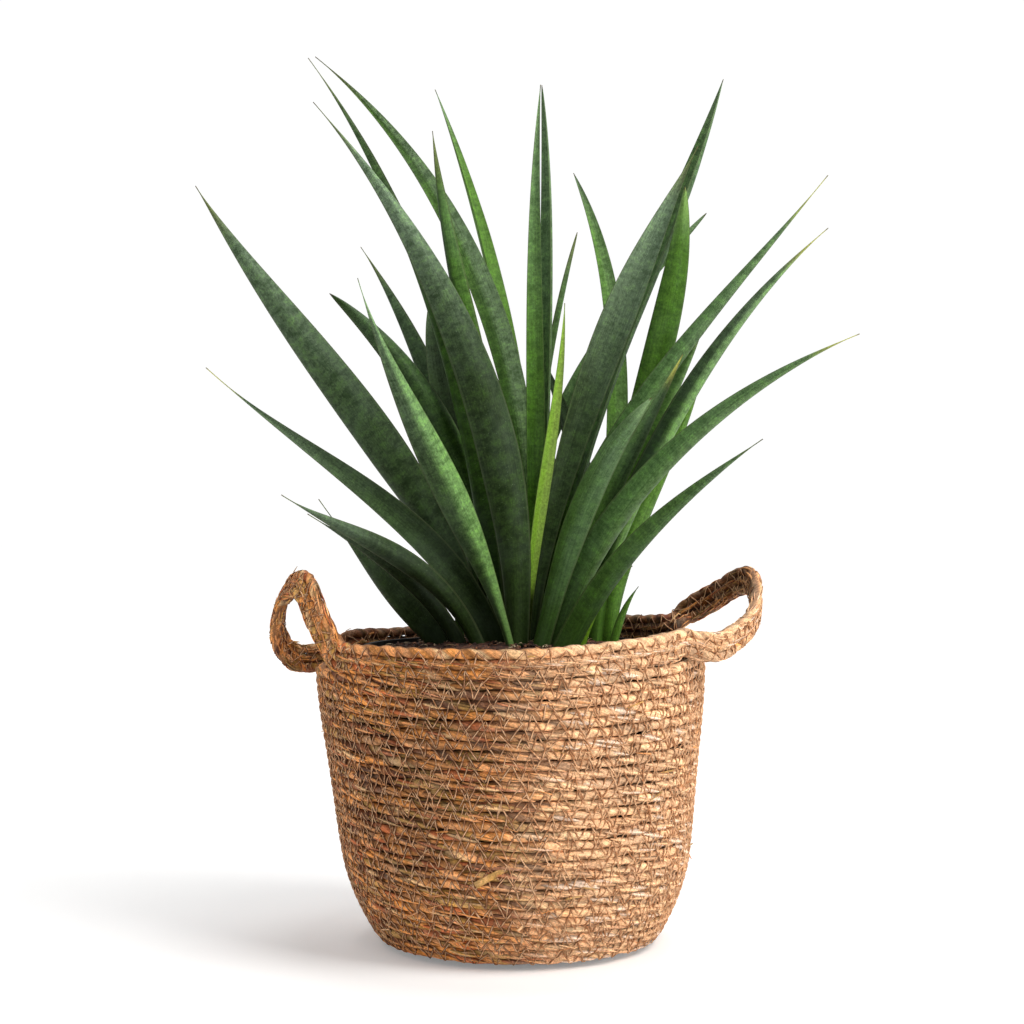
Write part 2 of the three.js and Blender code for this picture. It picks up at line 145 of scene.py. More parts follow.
# Flat blades: their least length, width, fall and lift, and how much more they have at most
BLADE_LONG = (11, 15)
BLADE_WIDE = (2.0, 2.9)
BLADE_FALL = (-0.08, -0.14)
BLADE_LIFT = (-0.6, 0.5)
BLADE_STRAY = 2.2
BLADE_BOW = 0.045
STRAP_BLADE_SIZE = 0.56
BLADE_ABOVE = 0.3
BLADE_BEND = 0.5
INNER_SHARE = 0.4
EDGE_SQUEEZE = 0.8

# Frayed ends: their least length, width and lift, and how much more they have at most
FRAY_LONG = (5, 9)
FRAY_WIDE = (0.35, 1.1)
FRAY_LIFT = (0.3, 1.7)
FRAY_SLOPE = 0.9
FRAY_RISE = (-8, 8.5)
WALL_FRAY_ABOVE = 0.2
STRAP_FRAY_ABOVE = 0.1
STRAP_FRAY_LONG = 0.6
FRAY_THICK = 0.25
LONG_BLADE_THICK = 0.5

# Pot and soil sizes, as in the part
POT_RIM_RADIUS = 95
POT_WALL = 1.6
SOIL_EDGE = 179
SOIL_MIDDLE = 185

# The visible soil: the cup that closes it below, the size, seed and weight of its lumps, and what lies on it
SOIL_CUP = 165
SOIL_CUP_RADIUS = 68
SOIL_FOOT = 10
LUMPS = ((7.0, 2, 0.6), (3.1, 3, 0.45), (1.5, 4, 0.25))
CRUMB_SIZE = (0.7, 2.1)
CRUMB_ROUGH = 0.6
CHIP_EVERY = 5
CHIP_SHAPE = (2.4, 1.1, 0.6)
HAIRS = 110
HAIR_LONG = (3, 9)
HAIR_HIGH = 1.6
HAIR_THICK = 0.5

# Leaf form, as in the part
ROOT_DEPTH = 12
LEAF_THICK = 4.4
THICK_SHARE = 0.24
HOLLOW_ROOT = 0.3
HOLLOW_EASE = 0.14
HOLLOW_REACH = 1.2
LEAF_EDGE = 0.35

# Fine form of the visible leaves: their least width and last ring, what is added to their thickness, the
# powers that round their faces, and how their margins wander. FACES_APART parts the skins of the two faces.
LEAST_WIDTH = 0.5
LAST_STATION = 0.9985
SKIN_THICK = 0.2
HOLLOW_POWER = 1.55
BACK_POWERS = (2.3, 0.85)
WAVE_LENGTH, WOBBLE_LENGTH = 34, 26
FULL_WAVE_WIDTH = 22
FACES_APART = 40


def paint(red, green, blue):
    """Linear colour of a paint given as it looks on a screen, 0 to 255 each."""
    c = np.array([red, green, blue]) / 255
    return tuple(float(v) for v in np.where(c <= 0.04045, c / 12.92, ((c + 0.055) / 1.055) ** 2.4))


# Leaf tones
INK = paint(20, 30, 16)
NIGHT = paint(36, 44, 30)
DEEP = paint(36, 54, 26)
FOREST = paint(46, 66, 30)
MOSS = paint(56, 80, 34)
FERN = paint(70, 94, 50)
GRASS = paint(76, 108, 42)
MEADOW = paint(94, 126, 60)
BRIGHT = paint(110, 144, 74)
DUSK = paint(50, 62, 42)
SLATE = paint(62, 76, 56)
SEA = paint(78, 102, 68)
SAGE = paint(98, 122, 86)
MINT = paint(118, 146, 102)
JADE = paint(136, 164, 116)
FROST = paint(152, 170, 150)
LIME = paint(122, 150, 58)
STRAW = paint(176, 176, 92)
OLIVE = paint(100, 110, 66)
UMBER = paint(84, 66, 40)
KIWI = paint(158, 180, 92)
# Painted reflection on the upper part of the leaves, standing in for light off their skin
PAINTED_REFLECTION = paint(128, 150, 124)
FOOT_TINT = (0.95, 1.03, 0.7)
SKIN_TINT = (0.86, 1.0, 0.69)
# Painted shade on the right half of each leaf
RIGHT_SHADE = 0.78
# Painted shade below a pale foot, as among the older leaves
SHEATH_SHADE = 0.12
PALE_FOOT = 1.5
DRY_POINT = 0.8

# Where a leaf's tones pass into each other: across it from -1 to 1, the others along it from 0 to 1
LEFT_TO_RIGHT = (-0.4, 0.35)
FOOT_PART = (0.45, 0.05)
SHEATH_PART = (0.18, 0.12)
REFLECTION_PART = (0.42, 0.95)
TIP_PART = (0.86, 0.98)
POINT_PART = (0.985, 0.996)
MOTTLE_FOOT = (0.02, 0.2)
MOTTLE_TIP = (1.0, 0.86)

# How near the edge the margin lies, and between which widths of leaf it comes in, in millimetres
MARGIN_FROM = (0.9, 0.1)
MARGIN_WIDTHS = (1.2, 3.0)

# Basket tones, and how large a share each has
GOLD = paint(222, 146, 76)
TAN = paint(210, 142, 86)
RUST = paint(190, 104, 58)
HAY = paint(180, 136, 72)
MILK = paint(244, 196, 146)
BLUSH = paint(244, 168, 110)
BARK = paint(110, 60, 30)
# Painted highlight on some flat blades in the pale, lit patch
BLADE_HIGHLIGHT = paint(244, 218, 196)
BASKET_TONES = (GOLD, TAN, RUST, HAY, MILK, BLUSH, BARK)
WALL_SHARES = (0.26, 0.24, 0.13, 0.16, 0.04, 0.06, 0.11)
RIM_SHARES = (0.14, 0.22, 0.04, 0.08, 0.28, 0.22, 0.02)
BLADE_SHARES = (0.30, 0.22, 0.13, 0.15, 0.07, 0.09, 0.04)
# Tone of the pale, lit patch right of the front: partly paler seagrass, partly painted light
PALE_LIT = paint(242, 194, 150)
# Thread tone in the pale, lit patch, partly painted light
PALE_LIT_THREAD = paint(214, 158, 112)
WARM = (1.02, 0.99, 0.85)
PALE_LIT_AT = np.radians(-44)
PALE_LIT_FROM = (0.5, 0.95)
# Painted shade for the faces turned into the basket
INSIDE_SHADE = (0.27, 0.21, 0.17)

# How light blades and threads are, the least and how much more at most, and how far a blade's halves differ
CORD_LIGHT = (0.62, 0.72)
HALF_LIGHT = 0.26
THREAD_LIGHTNESS = (0.55, 0.6)
BLADE_LIGHT = (0.66, 0.7)
FRAY_LIGHT = (0.8, 0.4)

# Where the basket is darker or paler and by how much. The face turned in takes painted shade, less so left of
# the wall, where it is lit; slow patches are darker and paler at random; the foot, the left side and the near
# leg of the left handle are paler as painted light. Places are in millimetres, and the face is turned in
# where the cosine of its angle falls from the first value to the second.
TURNED_IN = (0.2, -0.4)
OPEN_LEFT, LEFT_OF_WALL = 0.62, (-112, -130)
PATCH_SIZE = (38, 38, 17)
FOOT_PALER, FOOT_HEIGHT = 0.3, (85, 15)
LEFT_PALER, LEFT_SIDE = (0.9, 0.38), (-60, -114)
LEG_PALER, LEG_LEFT, LEG_FRONT = 0.45, (-118, -135), (5, -18)
# Largest share of that tone, partly painted light
PALE_LIT_AT_MOST = 0.95
WORN = paint(244, 214, 180)
# Painted shade in the creases of the cords and along the edges of flat blades
CREASE_SHADE = paint(40, 18, 7)

# The two long loose blades: compass angle in radians, height, length, width, slope and tone
LONG_BLADES = ((-1.79, 53.0, 27.0, 4.2, 0.55, HAY), (-1.57, 26.0, 17.0, 1.6, 0.87, MILK))

# Tones of the finishes of leaf, thread, soil and pot
PALE_BAND = (1.5, 1.75, 1.15)
DARK_BAND = (0.38, 0.48, 0.32)
SPECK = paint(150, 178, 140)
BLOOM = paint(150, 170, 156)
MARGIN_LINE = paint(130, 150, 104)
MARGIN = paint(62, 58, 38)
THREAD_DIM = (0.68, 0.58, 0.48)
THREAD_LIGHT = paint(248, 210, 168)
# Painted shadow on the thread's flanks, as it casts on the cord
THREAD_SHADOW = paint(92, 46, 22)
DAMP = paint(40, 21, 14)
SOIL_LOW = paint(58, 32, 22)
SOIL_HIGH = paint(104, 62, 42)
CRUMB_DARK = paint(48, 26, 18)
CRUMB_LIGHT = paint(150, 96, 62)
HAIR_DARK = paint(120, 92, 60)
HAIR_LIGHT = paint(206, 186, 150)
PLASTIC = paint(13, 12, 11)
POT_DUST = paint(52, 38, 30)

# Each leaf: the line, width and faces of the part's row, then its tones (the half that the front sees on the
# left, the right one, and the tip; the halves differ partly by painted light and shade), then how light its
# foot is (partly painted shade low in the clump), how strong the painted reflection on its top is, and how
# strong its mottling and its lengthwise lines are.
LEAVES = {
    "leaf_left_1": (
        ((-18, 6), (-68, -2, 284), (-134, -12, 375), (-198, -25, 466)), (10, 25, 0.42, 1.4), (60, 100),
        (SLATE, SLATE, OLIVE), (0.65, 0.35, 1.0, 0.5),
    ),
    "leaf_left_2": (
        ((-14, -12), (-61, -21, 252), (-124, -39, 303), (-186, -60, 352)), (13.5, 17, 0.25, 2.2), (-100, -75),
        (SLATE, SLATE, STRAW), (0.45, 0.3, 0.5, 1.0),
    ),
    "leaf_left_3": (
        ((-25, -16), (-57, -37, 228), (-98, -64, 254), (-137, -95, 276)), (10, 13, 0.4, 2), (60, 110),
        (NIGHT, DUSK, OLIVE), (0.9, 0.4, 0.6, 0.8),
    ),
    "leaf_left_4": (
        ((-48, 10), (-76, -4, 215), (-100, -20, 244), (-121, -40, 274)), (17, 18, 0.15, 3), (60, 90),
        (SLATE, DUSK, OLIVE), (0.6, 0.15, 0.6, 0.7),
    ),
    "leaf_left_5": (
        ((-37, -1), (-63, -18, 220), (-93, -40, 244), (-125, -66, 265)), (11, 10.5, 0.3, 2), (60, 100),
        (NIGHT, NIGHT, OLIVE), (0.8, 0.2, 0.6, 0.7),
    ),
    "leaf_left_6": (
        ((-13, 27), (-27, 31, 268), (-64, 28, 344), (-121, 28, 406)), (9, 18, 0.55, 0.8), (70, 120),
        (FOREST, MOSS, FOREST), (0.7, 0.15, 0.8, 0.5),
    ),
    "leaf_left_7": (
        ((-24, 46), (-33, 56, 275), (-61, 65, 363), (-105, 80, 443)), (12, 22, 0.4, 1.5), (45, 40),
        (DEEP, FOREST, OLIVE), (0.8, 0.3, 0.9, 0.5),
    ),
    "leaf_front_1": (
        ((-5, -30), (-33, -44, 260), (-66, -68, 330), (-93, -95, 401)), (5, 19, 0.42, 1.9), (75, 120),
        (SLATE, MINT, JADE), (0.8, 0.3, 0.9, 0.9),
    ),
    "leaf_front_2": (
        ((-1, -20), (-13, -26, 305), (-56, -35, 416), (-124, -45, 513)), (14.5, 25.5, 0.33, 1.7), (80, 115),
        (DUSK, DUSK, OLIVE), (1.1, 0.7, 1.0, 0.6),
    ),
    "leaf_mid_1": (
        ((-10, 14), (-30, 17, 318), (-72, 33, 447), (-137, 50, 562)), (15, 18.5, 0.25, 1.5), (30, 45),
        (MOSS, MOSS, OLIVE), (0.6, 0.2, 0.8, 0.6),
    ),
    "leaf_mid_2": (
        ((2, 11), (1, 19, 324), (-44, 24, 454), (-131, 34, 559)), (11, 16.5, 0.45, 1.5), (-60, -110),
        (FERN, FROST, OLIVE), (1.2, 0, 0.8, 0.9),
    ),
    "leaf_mid_3": (
        ((-17, 34), (-28, 36, 258), (-47, 38, 330), (-56, 40, 403)), (11, 13, 0.65, 0.5), (-70, -110),
        (DUSK, DUSK, SAGE), (0.6, 0.15, 0.6, 0.7),
    ),
    "leaf_mid_4": (
        ((0, 0), (-11, -6, 291), (-34, -12, 396), (-53, -18, 501)), (13.5, 15.5, 0.5, 1.1), (40, 60),
        (FOREST, GRASS, OLIVE), (0.7, 0.1, 0.7, 0.8),
    ),
    "leaf_mid_5": (
        ((4, 24), (4, 36, 308), (-17, 52, 430), (-55, 70, 546)), (13.5, 15.5, 0.4, 1.1), (-35, -40),
        (MEADOW, BRIGHT, MINT), (0.6, 0, 0.6, 0.7),
    ),
    "leaf_mid_6": (
        ((8, 3), (11, 2, 302), (10, 4, 418), (14, 6, 535)), (10, 11.5, 0.35, 1), (-90, -95),
        (GRASS, MEADOW, MINT), (0.85, 0.4, 0.6, 0.9),
    ),
    "leaf_mid_7": (
        ((8, 18), (13, 21, 303), (17, 25, 422), (15, 30, 540)), (16, 16, 0.1, 0.7), (-150, -140),
        (SEA, SAGE, SAGE), (0.8, 0.35, 0.8, 0.7),
    ),
    "leaf_mid_8": (
        ((3, 44), (9, 62, 276), (20, 78, 367), (40, 95, 455)), (6.5, 6.5, 0.6, 0.6), (150, 150),
        (FERN, SAGE, OLIVE), (0.75, 0.2, 0.6, 0.6),
    ),
    "leaf_mid_9": (
        ((48, 41), (50, 43, 251), (35, 44, 316), (10, 45, 378)), (26, 28, 0.15, 1.5), (-20, -60),
        (INK, SLATE, OLIVE), (0.8, 0.1, 0.6, 0.9),
    ),
    "leaf_young_1": (
        ((5, -15), (12, -23, 256), (22, -29, 324), (28, -36, 393)), (4, 8, 0.45, 1.1), (-80, -70),
        (LIME, KIWI, LIME), (1.7, 0, 0.2, 0.9),
    ),
    "leaf_right_1": (
        ((8, -8), (29, -10, 292), (65, -12, 395), (111, -15, 492)), (6.5, 21, 0.6, 1.6), (-60, -100),
        (DUSK, SLATE, OLIVE), (0.7, 0.65, 0.7, 1.0),
    ),
    "leaf_right_2": (
        ((19, 20), (40, 24, 309), (85, 29, 428), (132, 35, 545)), (19.5, 24, 0.45, 1), (-150, -150),
        (FERN, SEA, SAGE), (0.75, 0.2, 0.9, 0.8),
    ),
    "leaf_right_3": (
        ((49, 20), (66, 25, 282), (91, 22, 376), (106, 20, 473)), (9.5, 18.5, 0.65, 0.8), (110, 80),
        (MEADOW, GRASS, BRIGHT), (0.8, 0, 0.6, 0.6),
    ),
    "leaf_right_4": (
        ((13, 37), (14, 52, 291), (58, 62, 383), (125, 70, 464)), (10, 11, 0.4, 0.6), (-50, -50),
        (SAGE, SAGE, SAGE), (0.75, 0.1, 0.7, 0.7),
    ),
    "leaf_right_5": (
        ((19, 4), (53, 0, 295), (119, -2, 389), (193, -5, 476)), (13, 16.5, 0.2, 1.6), (120, 90),
        (SEA, SAGE, STRAW), (0.7, 0.25, 0.7, 0.9),
    ),
    "leaf_right_6": (
        ((35, 10), (55, 8, 256), (87, 10, 323), (118, 8, 389)), (11, 12.5, 0.3, 0.8), (110, 100),
        (GRASS, MEADOW, OLIVE), (0.75, 0.2, 0.6, 0.7),
    ),
    "leaf_right_7": (
        ((28, -8), (45, -11, 248), (71, -21, 306), (100, -32, 362)), (9.5, 11.5, 0.4, 1), (-70, -80),
        (MOSS, FOREST, STRAW), (1.0, 0.2, 0.5, 0.8),
    ),
    "leaf_right_8": (
        ((14, -26), (29, -35, 240), (49, -43, 290), (79, -60, 334)), (11.5, 17, 0.5, 0.8), (60, 80),
        (FERN, SEA, MINT), (0.7, 0.2, 0.5, 1.0),
    ),
    "leaf_right_9": (
        ((37, 4), (74, 0, 281), (124, -6, 368), (192, -12, 442)), (12, 14, 0.35, 1.4), (120, 100),
        (DEEP, MINT, STRAW), (0.85, 0.35, 0.7, 0.9),
    ),
    "leaf_right_10": (
        ((57, 28), (71, 29, 244), (95, 28, 300), (118, 26, 356)), (10.5, 11.5, 0.35, 1), (110, 90),
        (BRIGHT, MEADOW, OLIVE), (1.0, 0, 0.5, 0.8),
    ),
    "leaf_right_11": (
        ((22, -18), (61, -31, 266), (125, -49, 329), (201, -70, 371)), (17.5, 18, 0.15, 1.5), (120, 100),
        (SEA, SAGE, STRAW), (0.7, 0.15, 0.7, 0.9),
    ),
    "leaf_right_12": (
        ((29, -27), (60, -45, 235), (98, -71, 275), (140, -100, 308)), (16, 15.5, 0.1, 1.5), (110, 100),
        (FERN, SEA, OLIVE), (0.8, 0.2, 0.7, 0.8),
    ),
    "leaf_right_13": (
        ((60, 17), (64, 16, 196), (69, 15, 208), (76, 13, 219)), (6, 6, 0.05, 1.2), (120, 100),
        (MEADOW, BRIGHT, OLIVE), (1.0, 0, 0.3, 0.6),
    ),
    "leaf_right_14": (
        ((39, -8), (47, -11, 204), (57, -15, 220), (70, -20, 233)), (5.5, 5.5, 0.15, 2), (150, 150),
        (LIME, MEADOW, OLIVE), (0.9, 0, 0.3, 0.6),
    ),
    "leaf_right_15": (
        ((51, 34), (62, 38, 287), (62, 46, 390), (36, 55, 488)), (10.5, 14, 0.45, 0.8), (-80, -70),
        (MEADOW, JADE, SAGE), (1.0, 0.2, 0.7, 0.8),
    ),
    "leaf_back_1": (
        ((-14, 52), (-19, 83, 251), (-24, 121, 309), (-29, 160, 345)), (8, 17, 0.4, 1.5), (-100, -80),
        (DUSK, SLATE, OLIVE), (0.8, 0.3, 0.9, 0.6),
    ),
    "leaf_back_2": (
        ((24, 54), (22, 84, 250), (19, 121, 303), (15, 155, 335)), (8.5, 18, 0.4, 1.5), (-70, -110),
        (SEA, SLATE, OLIVE), (0.7, 0.3, 0.9, 0.6),
    ),
    "leaf_back_3": (
        ((-38, 42), (-36, 70, 232), (-33, 105, 268), (-28, 140, 290)), (7, 15, 0.4, 1.5), (-60, -80),
        (FERN, SEA, OLIVE), (0.7, 0.2, 0.8, 0.6),
    ),
    "leaf_back_4": (
        ((44, 60), (54, 82, 226), (66, 110, 259), (70, 142, 290)), (7, 15, 0.4, 1.5), (-120, -100),
        (SLATE, SEA, OLIVE), (0.7, 0.25, 0.8, 0.6),
    ),
}


# Stage: the floor in millimetres, the camera's sideways place in metres and its sensor in millimetres
FLOOR_RADIUS = 14000
FLOOR_DROP = 0.4
CAMERA_SIDE = -0.004
SENSOR_WIDTH = 36
SEEN_WHITE = 1.02

# Each lamp: its place, what it is aimed at and its size in metres, its share of the key's power, its colour
LAMPS = (
    ("key", (1.4, -0.8, 2.05), (0, 0, 0.2), 1.2, 1.0, (1.0, 0.985, 0.96)),
    ("low", (1.5, -0.75, 0.42), (0, 0, 0.08), 0.7, 0.2, (1.0, 0.96, 0.9)),
    ("top", (0.1, 0.5, 1.9), (0, 0, 0.2), 1.2, 0.35, (1.0, 1.0, 1.0)),
)


def noise(p, seed=0):
    """Smooth noise from -1 to 1: random numbers at the corners of unit cubes, eased between them."""
    p = np.asarray(p, float)
    base = np.floor(p).astype(np.int64)
    f = p - base
    f = f * f * (3 - 2 * f)
    total = 0.0
    for corner in range(8):
        step = np.array([corner & 1, corner >> 1 & 1, corner >> 2 & 1])
        weight = np.prod(np.where(step == 1, f, 1 - f), axis=-1)
        total = total + weight * scatter(*np.moveaxis(base + step, -1, 0), seed)
    return 2 * total - 1


def scatter(x, y=0, z=0, seed=0):
    """A random number from 0 to 1 for each whole-number place: its digits are mixed by odd multipliers."""
    h = np.asarray(x, np.int64) * 73856093 ^ np.asarray(y, np.int64) * 19349663
    h = (h ^ np.asarray(z, np.int64) * 83492791 ^ int(seed) * 2654435761) & 0xFFFFFFFF
    for _ in range(2):
        h = ((h ^ (h >> 15)) * 0x2C1B3C6D) & 0xFFFFFFFF
        h = ((h ^ (h >> 12)) * 0x297A2D39) & 0xFFFFFFFF
    return (h & 0xFFFFFF) / 0xFFFFFF


def unit(v):
    return v / np.maximum(np.linalg.norm(v, axis=-1, keepdims=True), 1e-9)


def mix(a, b, share):
    """Goes from a to b as share goes from 0 to 1, for arrays of colours or points."""
    share = np.asarray(share)[..., None]
    return np.asarray(a) * (1 - share) + np.asarray(b) * share


def spread(least, more, share):
    """The least value, and more of it as share goes from 0 to 1."""
    return least + more * share


def ease(low, high, x):
    """0 below low, 1 above high and a smooth S between them."""
    u = np.clip((x - low) / (high - low), 0, 1)
    return u * u * (3 - 2 * u)


def spline(points, count, power=0.25):
    """A curve through the points, each piece a cubic with the slopes of its neighbours, cut into even steps.

    power 0.25 spaces the pieces by the root of their length and 0 spaces them alike.
    """
    p = np.asarray(points, float)
    p = np.vstack([2 * p[0] - p[1], p, 2 * p[-1] - p[-2]])
    gap = np.maximum((np.diff(p, axis=0) ** 2).sum(1), 1e-9) ** power
    x0, x1, x2, x3 = p[:-3], p[1:-2], p[2:-1], p[3:]
    a, b, c = (g[:, None] for g in (gap[:-2], gap[1:-1], gap[2:]))
    s1 = b * ((x1 - x0) / a - (x2 - x0) / (a + b) + (x2 - x1) / b)
    s2 = b * ((x2 - x1) / b - (x3 - x1) / (b + c) + (x3 - x2) / c)
    u = np.linspace(0, 1, 40, endpoint=False)[:, None, None]
    curve = x1 + s1 * u + (3 * (x2 - x1) - 2 * s1 - s2) * u**2 + (2 * (x1 - x2) + s1 + s2) * u**3
    curve = np.vstack([curve.transpose(1, 0, 2).reshape(-1, p.shape[1]), p[-2:-1]])
    return even(curve, count)


def lengths(curve):
    """How far along the curve each of its points lies."""
    return np.r_[0, np.cumsum(np.linalg.norm(np.diff(curve, axis=0), axis=1))]


def follow(at, far, curve):
    """Points of the curve at the distances at, where far is how far along its own points lie."""
    return np.stack([np.interp(at, far, curve[:, k]) for k in range(curve.shape[1])], axis=-1)


def even(curve, count):
    """The same curve cut into count points at even distances."""
    far = lengths(curve)
    return follow(np.linspace(0, far[-1], count), far, curve)


def drawn(shares, pick):
    """Basket tones for random numbers from 0 to 1, each tone with its share of them."""
    return np.array(BASKET_TONES)[np.digitize(pick, np.cumsum(shares)[:-1])]


def tube_faces(rings, around, closed):
    """Quads of a tube whose rings each have the same number of points, as a whole array.

    Quad (i, j) joins points j and j+1 of ring i to those of ring i+1. A closed tube joins its last ring
    to its first.
    """
    i = np.arange(rings if closed else rings - 1)[:, None]
    j = np.arange(around)[None]
    a = i * around + j
    b = i * around + (j + 1) % around
    c = (i + 1) % rings * around + (j + 1) % around
    d = (i + 1) % rings * around + j
    return np.stack([a, d, c, b], axis=-1).reshape(-1, 4)


def tube_ends(rings, around):
    """The two rings of points at the ends of a tube, as fans that close it."""
    ring = np.arange(around)
    return [ring, ring[::-1] + (rings - 1) * around]


def strip_faces(rings):
    """All faces of a closed strip whose section has four corners."""
    last = rings * 4 - 1
    return np.vstack([tube_faces(rings, 4, False), [[0, 1, 2, 3]], [[last, last - 1, last - 2, last - 3]]])


def surface(name, points, quads, material, fans=(), colours=None, **fields):
    """Makes a piece from its points in millimetres, its quads and its end fans, with named fields on them.

    A fan is a ring of point numbers closed by one face. Fields are numbers or vectors at each point, and
    colours are the field tone.
    """
    points = np.asarray(points, float).reshape(-1, 3) * MM
    quads = np.asarray(quads, np.int32).reshape(-1, 4)
    loops = np.concatenate([quads.reshape(-1)] + [np.asarray(fan, np.int32) for fan in fans])
    sizes = np.concatenate([np.full(len(quads), 4), [len(fan) for fan in fans]]).astype(np.int32)
    mesh = bpy.data.meshes.new(name)
    mesh.vertices.add(len(points))
    mesh.vertices.foreach_set("co", points.astype(np.float32).ravel())
    mesh.loops.add(len(loops))
    mesh.loops.foreach_set("vertex_index", loops.astype(np.int32))
    mesh.polygons.add(len(sizes))
    mesh.polygons.foreach_set("loop_start", np.r_[0, np.cumsum(sizes)[:-1]].astype(np.int32))
    mesh.polygons.foreach_set("use_smooth", np.ones(len(sizes), bool))
    mesh.update(calc_edges=True)
    if colours is not None:
        tone = mesh.attributes.new("tone", "FLOAT_COLOR", "POINT")
        rgba = np.ones((len(points), 4), np.float32)
        rgba[:, :3] = np.clip(np.asarray(colours).reshape(-1, 3), 0, 1)
        tone.data.foreach_set("color", rgba.ravel())
    for field, values in fields.items():
        values = np.asarray(values, np.float32)
        if values.size == len(points):
            mesh.attributes.new(field, "FLOAT", "POINT").data.foreach_set("value", values.ravel())
        else:
            mesh.attributes.new(field, "FLOAT_VECTOR", "POINT").data.foreach_set("vector", values.ravel())
    mesh.materials.append(material)
    mesh.validate(clean_customdata=False)
    piece = bpy.data.objects.new(name, mesh)
    bpy.context.scene.collection.objects.link(piece)
    return piece


def bundle(name, material, parts):
    """One piece from many parts, each given as its points, quads, fans, tones and a dictionary of fields."""
    points, quads, fans, tones, fields, count = [], [], [], [], {}, 0
    for body, faces, ends, tone, named in parts:
        body = body.reshape(-1, 3)
        points.append(body)
        quads.append(np.asarray(faces) + count)
        fans += [np.asarray(end) + count for end in ends]
        tones.append(np.asarray(tone).reshape(-1, 3))
        for field, values in named.items():
            fields.setdefault(field, []).append(np.asarray(values).reshape(len(body), -1))
        count += len(body)
    points, quads, tones = (np.concatenate(lists) for lists in (points, quads, tones))
    fields = {field: np.concatenate(values) for field, values in fields.items()}
    return surface(name, points, quads, material, fans, tones, **fields)


def settle(piece, slot, *nodes):
    """The piece rides on the part and stands for its nodes. The slot is not used."""
    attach(piece, "root")
    if nodes:
        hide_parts(*nodes)
    return piece


class Recipe:
    """A material's node tree with short words for the nodes that this plant's materials use."""

    def __init__(self, tree):
        self.tree = tree

    def feed(self, made, sockets):
        """Sets the inputs of a node, each to a value or to another node's output."""
        for key, value in sockets.items():
            if isinstance(value, bpy.types.NodeSocket):
                self.tree.links.new(value, made.inputs[key])
            else:
                made.inputs[key].default_value = value

    def node(self, kind, sockets=None, **settings):
        made = self.tree.nodes.new(kind)
        for key, value in settings.items():
            setattr(made, key, value)
        self.feed(made, sockets or {})
        return made

    def field(self, name, output="Fac"):
        return self.node("ShaderNodeAttribute", attribute_name=name).outputs[output]

    def place(self):
        return self.node("ShaderNodeTexCoord").outputs["Object"]

    def maths(self, operation, a, b):
        return self.node("ShaderNodeMath", {0: a, 1: b}, operation=operation).outputs[0]

    def plus(self, a, b):
        return self.maths("ADD", a, b)

    def times(self, a, b):
        return self.maths("MULTIPLY", a, b)

    def factor(self, cloud, strength):
        """A factor round 1 from noise round a half."""
        return self.plus(self.times(self.maths("SUBTRACT", cloud, 0.5), strength), 1.0)

    def blend(self, share, a, b, how="MIX"):
        a, b = (v if isinstance(v, bpy.types.NodeSocket) else (*v, 1) for v in (a, b))
        return self.node("ShaderNodeMix", {0: share, 6: a, 7: b}, data_type="RGBA", blend_type=how).outputs[2]

    def tint(self, colour, factor):
        return self.blend(1.0, colour, factor, "MULTIPLY")

    def ramp(self, share, low, high):
        """0 below low and 1 above high, smooth between."""
        sockets = {0: share, 1: low, 2: high}
        return self.node("ShaderNodeMapRange", sockets, interpolation_type="SMOOTHSTEP").outputs[0]

    def speckle(self, vector, scale, detail=3.0, rough=0.55):
        sockets = {"Vector": vector, "Scale": scale, "Detail": detail, "Roughness": rough}
        return self.node("ShaderNodeTexNoise", sockets).outputs["Fac"]

    def stretched(self, vector, x, y):
        return self.node("ShaderNodeMapping", {"Vector": vector, "Scale": (x, y, 1)}).outputs[0]

    def bump(self, strength, distance, height):
        sockets = {"Strength": strength, "Distance": distance, "Height": height}
        return self.node("ShaderNodeBump", sockets).outputs[0]

    def shared(self, group, sockets):
        """The outputs of one of the shared effects with its own values here."""
        return self.node("ShaderNodeGroup", sockets, node_tree=group).outputs


def effect(name, inputs, outputs, build):
    """A shader node group: inputs are (name, kind, default), and every output is a number."""
    if name in bpy.data.node_groups:
        return bpy.data.node_groups[name]
    group = bpy.data.node_groups.new(name, "ShaderNodeTree")
    for label, kind, default in inputs:
        socket = group.interface.new_socket(label, in_out="INPUT", socket_type=kind)
        if default is not None:
            socket.default_value = default
    for label in outputs:
        group.interface.new_socket(label, in_out="OUTPUT", socket_type="NodeSocketFloat")
    recipe = Recipe(group)
    results = build(recipe, recipe.node("NodeGroupInput").outputs)
    recipe.node("NodeGroupOutput", results)
    return group


def fibre_effect():
    """Lengthwise fibre: noise drawn out along the grain, as a colour factor and as a height."""

    def build(recipe, entry):
        fine = recipe.speckle(recipe.stretched(entry["Grain"], 0.08, 1.7), 1.0, 4.0, 0.7)
        broad = recipe.speckle(recipe.stretched(entry["Grain"], 0.04, 0.6), 1.0, 2.0)
        both = recipe.plus(recipe.times(fine, 0.65), recipe.times(broad, 0.35))
        return {"Shade": recipe.factor(both, entry["Depth"]), "Height": both}

    inputs = (("Grain", "NodeSocketVector", None), ("Depth", "NodeSocketFloat", 1.0))
    return effect("lengthwise_fibre", inputs, ("Shade", "Height"), build)


def dust_effect():
    """Soft uneven patches, for dust, bloom and wear."""

    def build(recipe, entry):
        cloud = recipe.speckle(entry["Place"], entry["Scale"], 5.0, 0.6)
        return {"Mask": recipe.ramp(cloud, 0.42, 0.68)}

    inputs = (("Place", "NodeSocketVector", None), ("Scale", "NodeSocketFloat", 40.0))
    return effect("soft_patches", inputs, ("Mask",), build)


def patches(recipe, place, scale):
    return recipe.shared(dust_effect(), {"Place": place, "Scale": scale})["Mask"]


def finish(name, build):
    """A material whose build gets the recipe and returns values for the Principled shader's sockets."""
    if name in bpy.data.materials:
        return bpy.data.materials[name]
    material = bpy.data.materials.new(name)
    material.use_nodes = True
    recipe = Recipe(material.node_tree)
    recipe.feed(material.node_tree.nodes["Principled BSDF"], build(recipe))
    return material


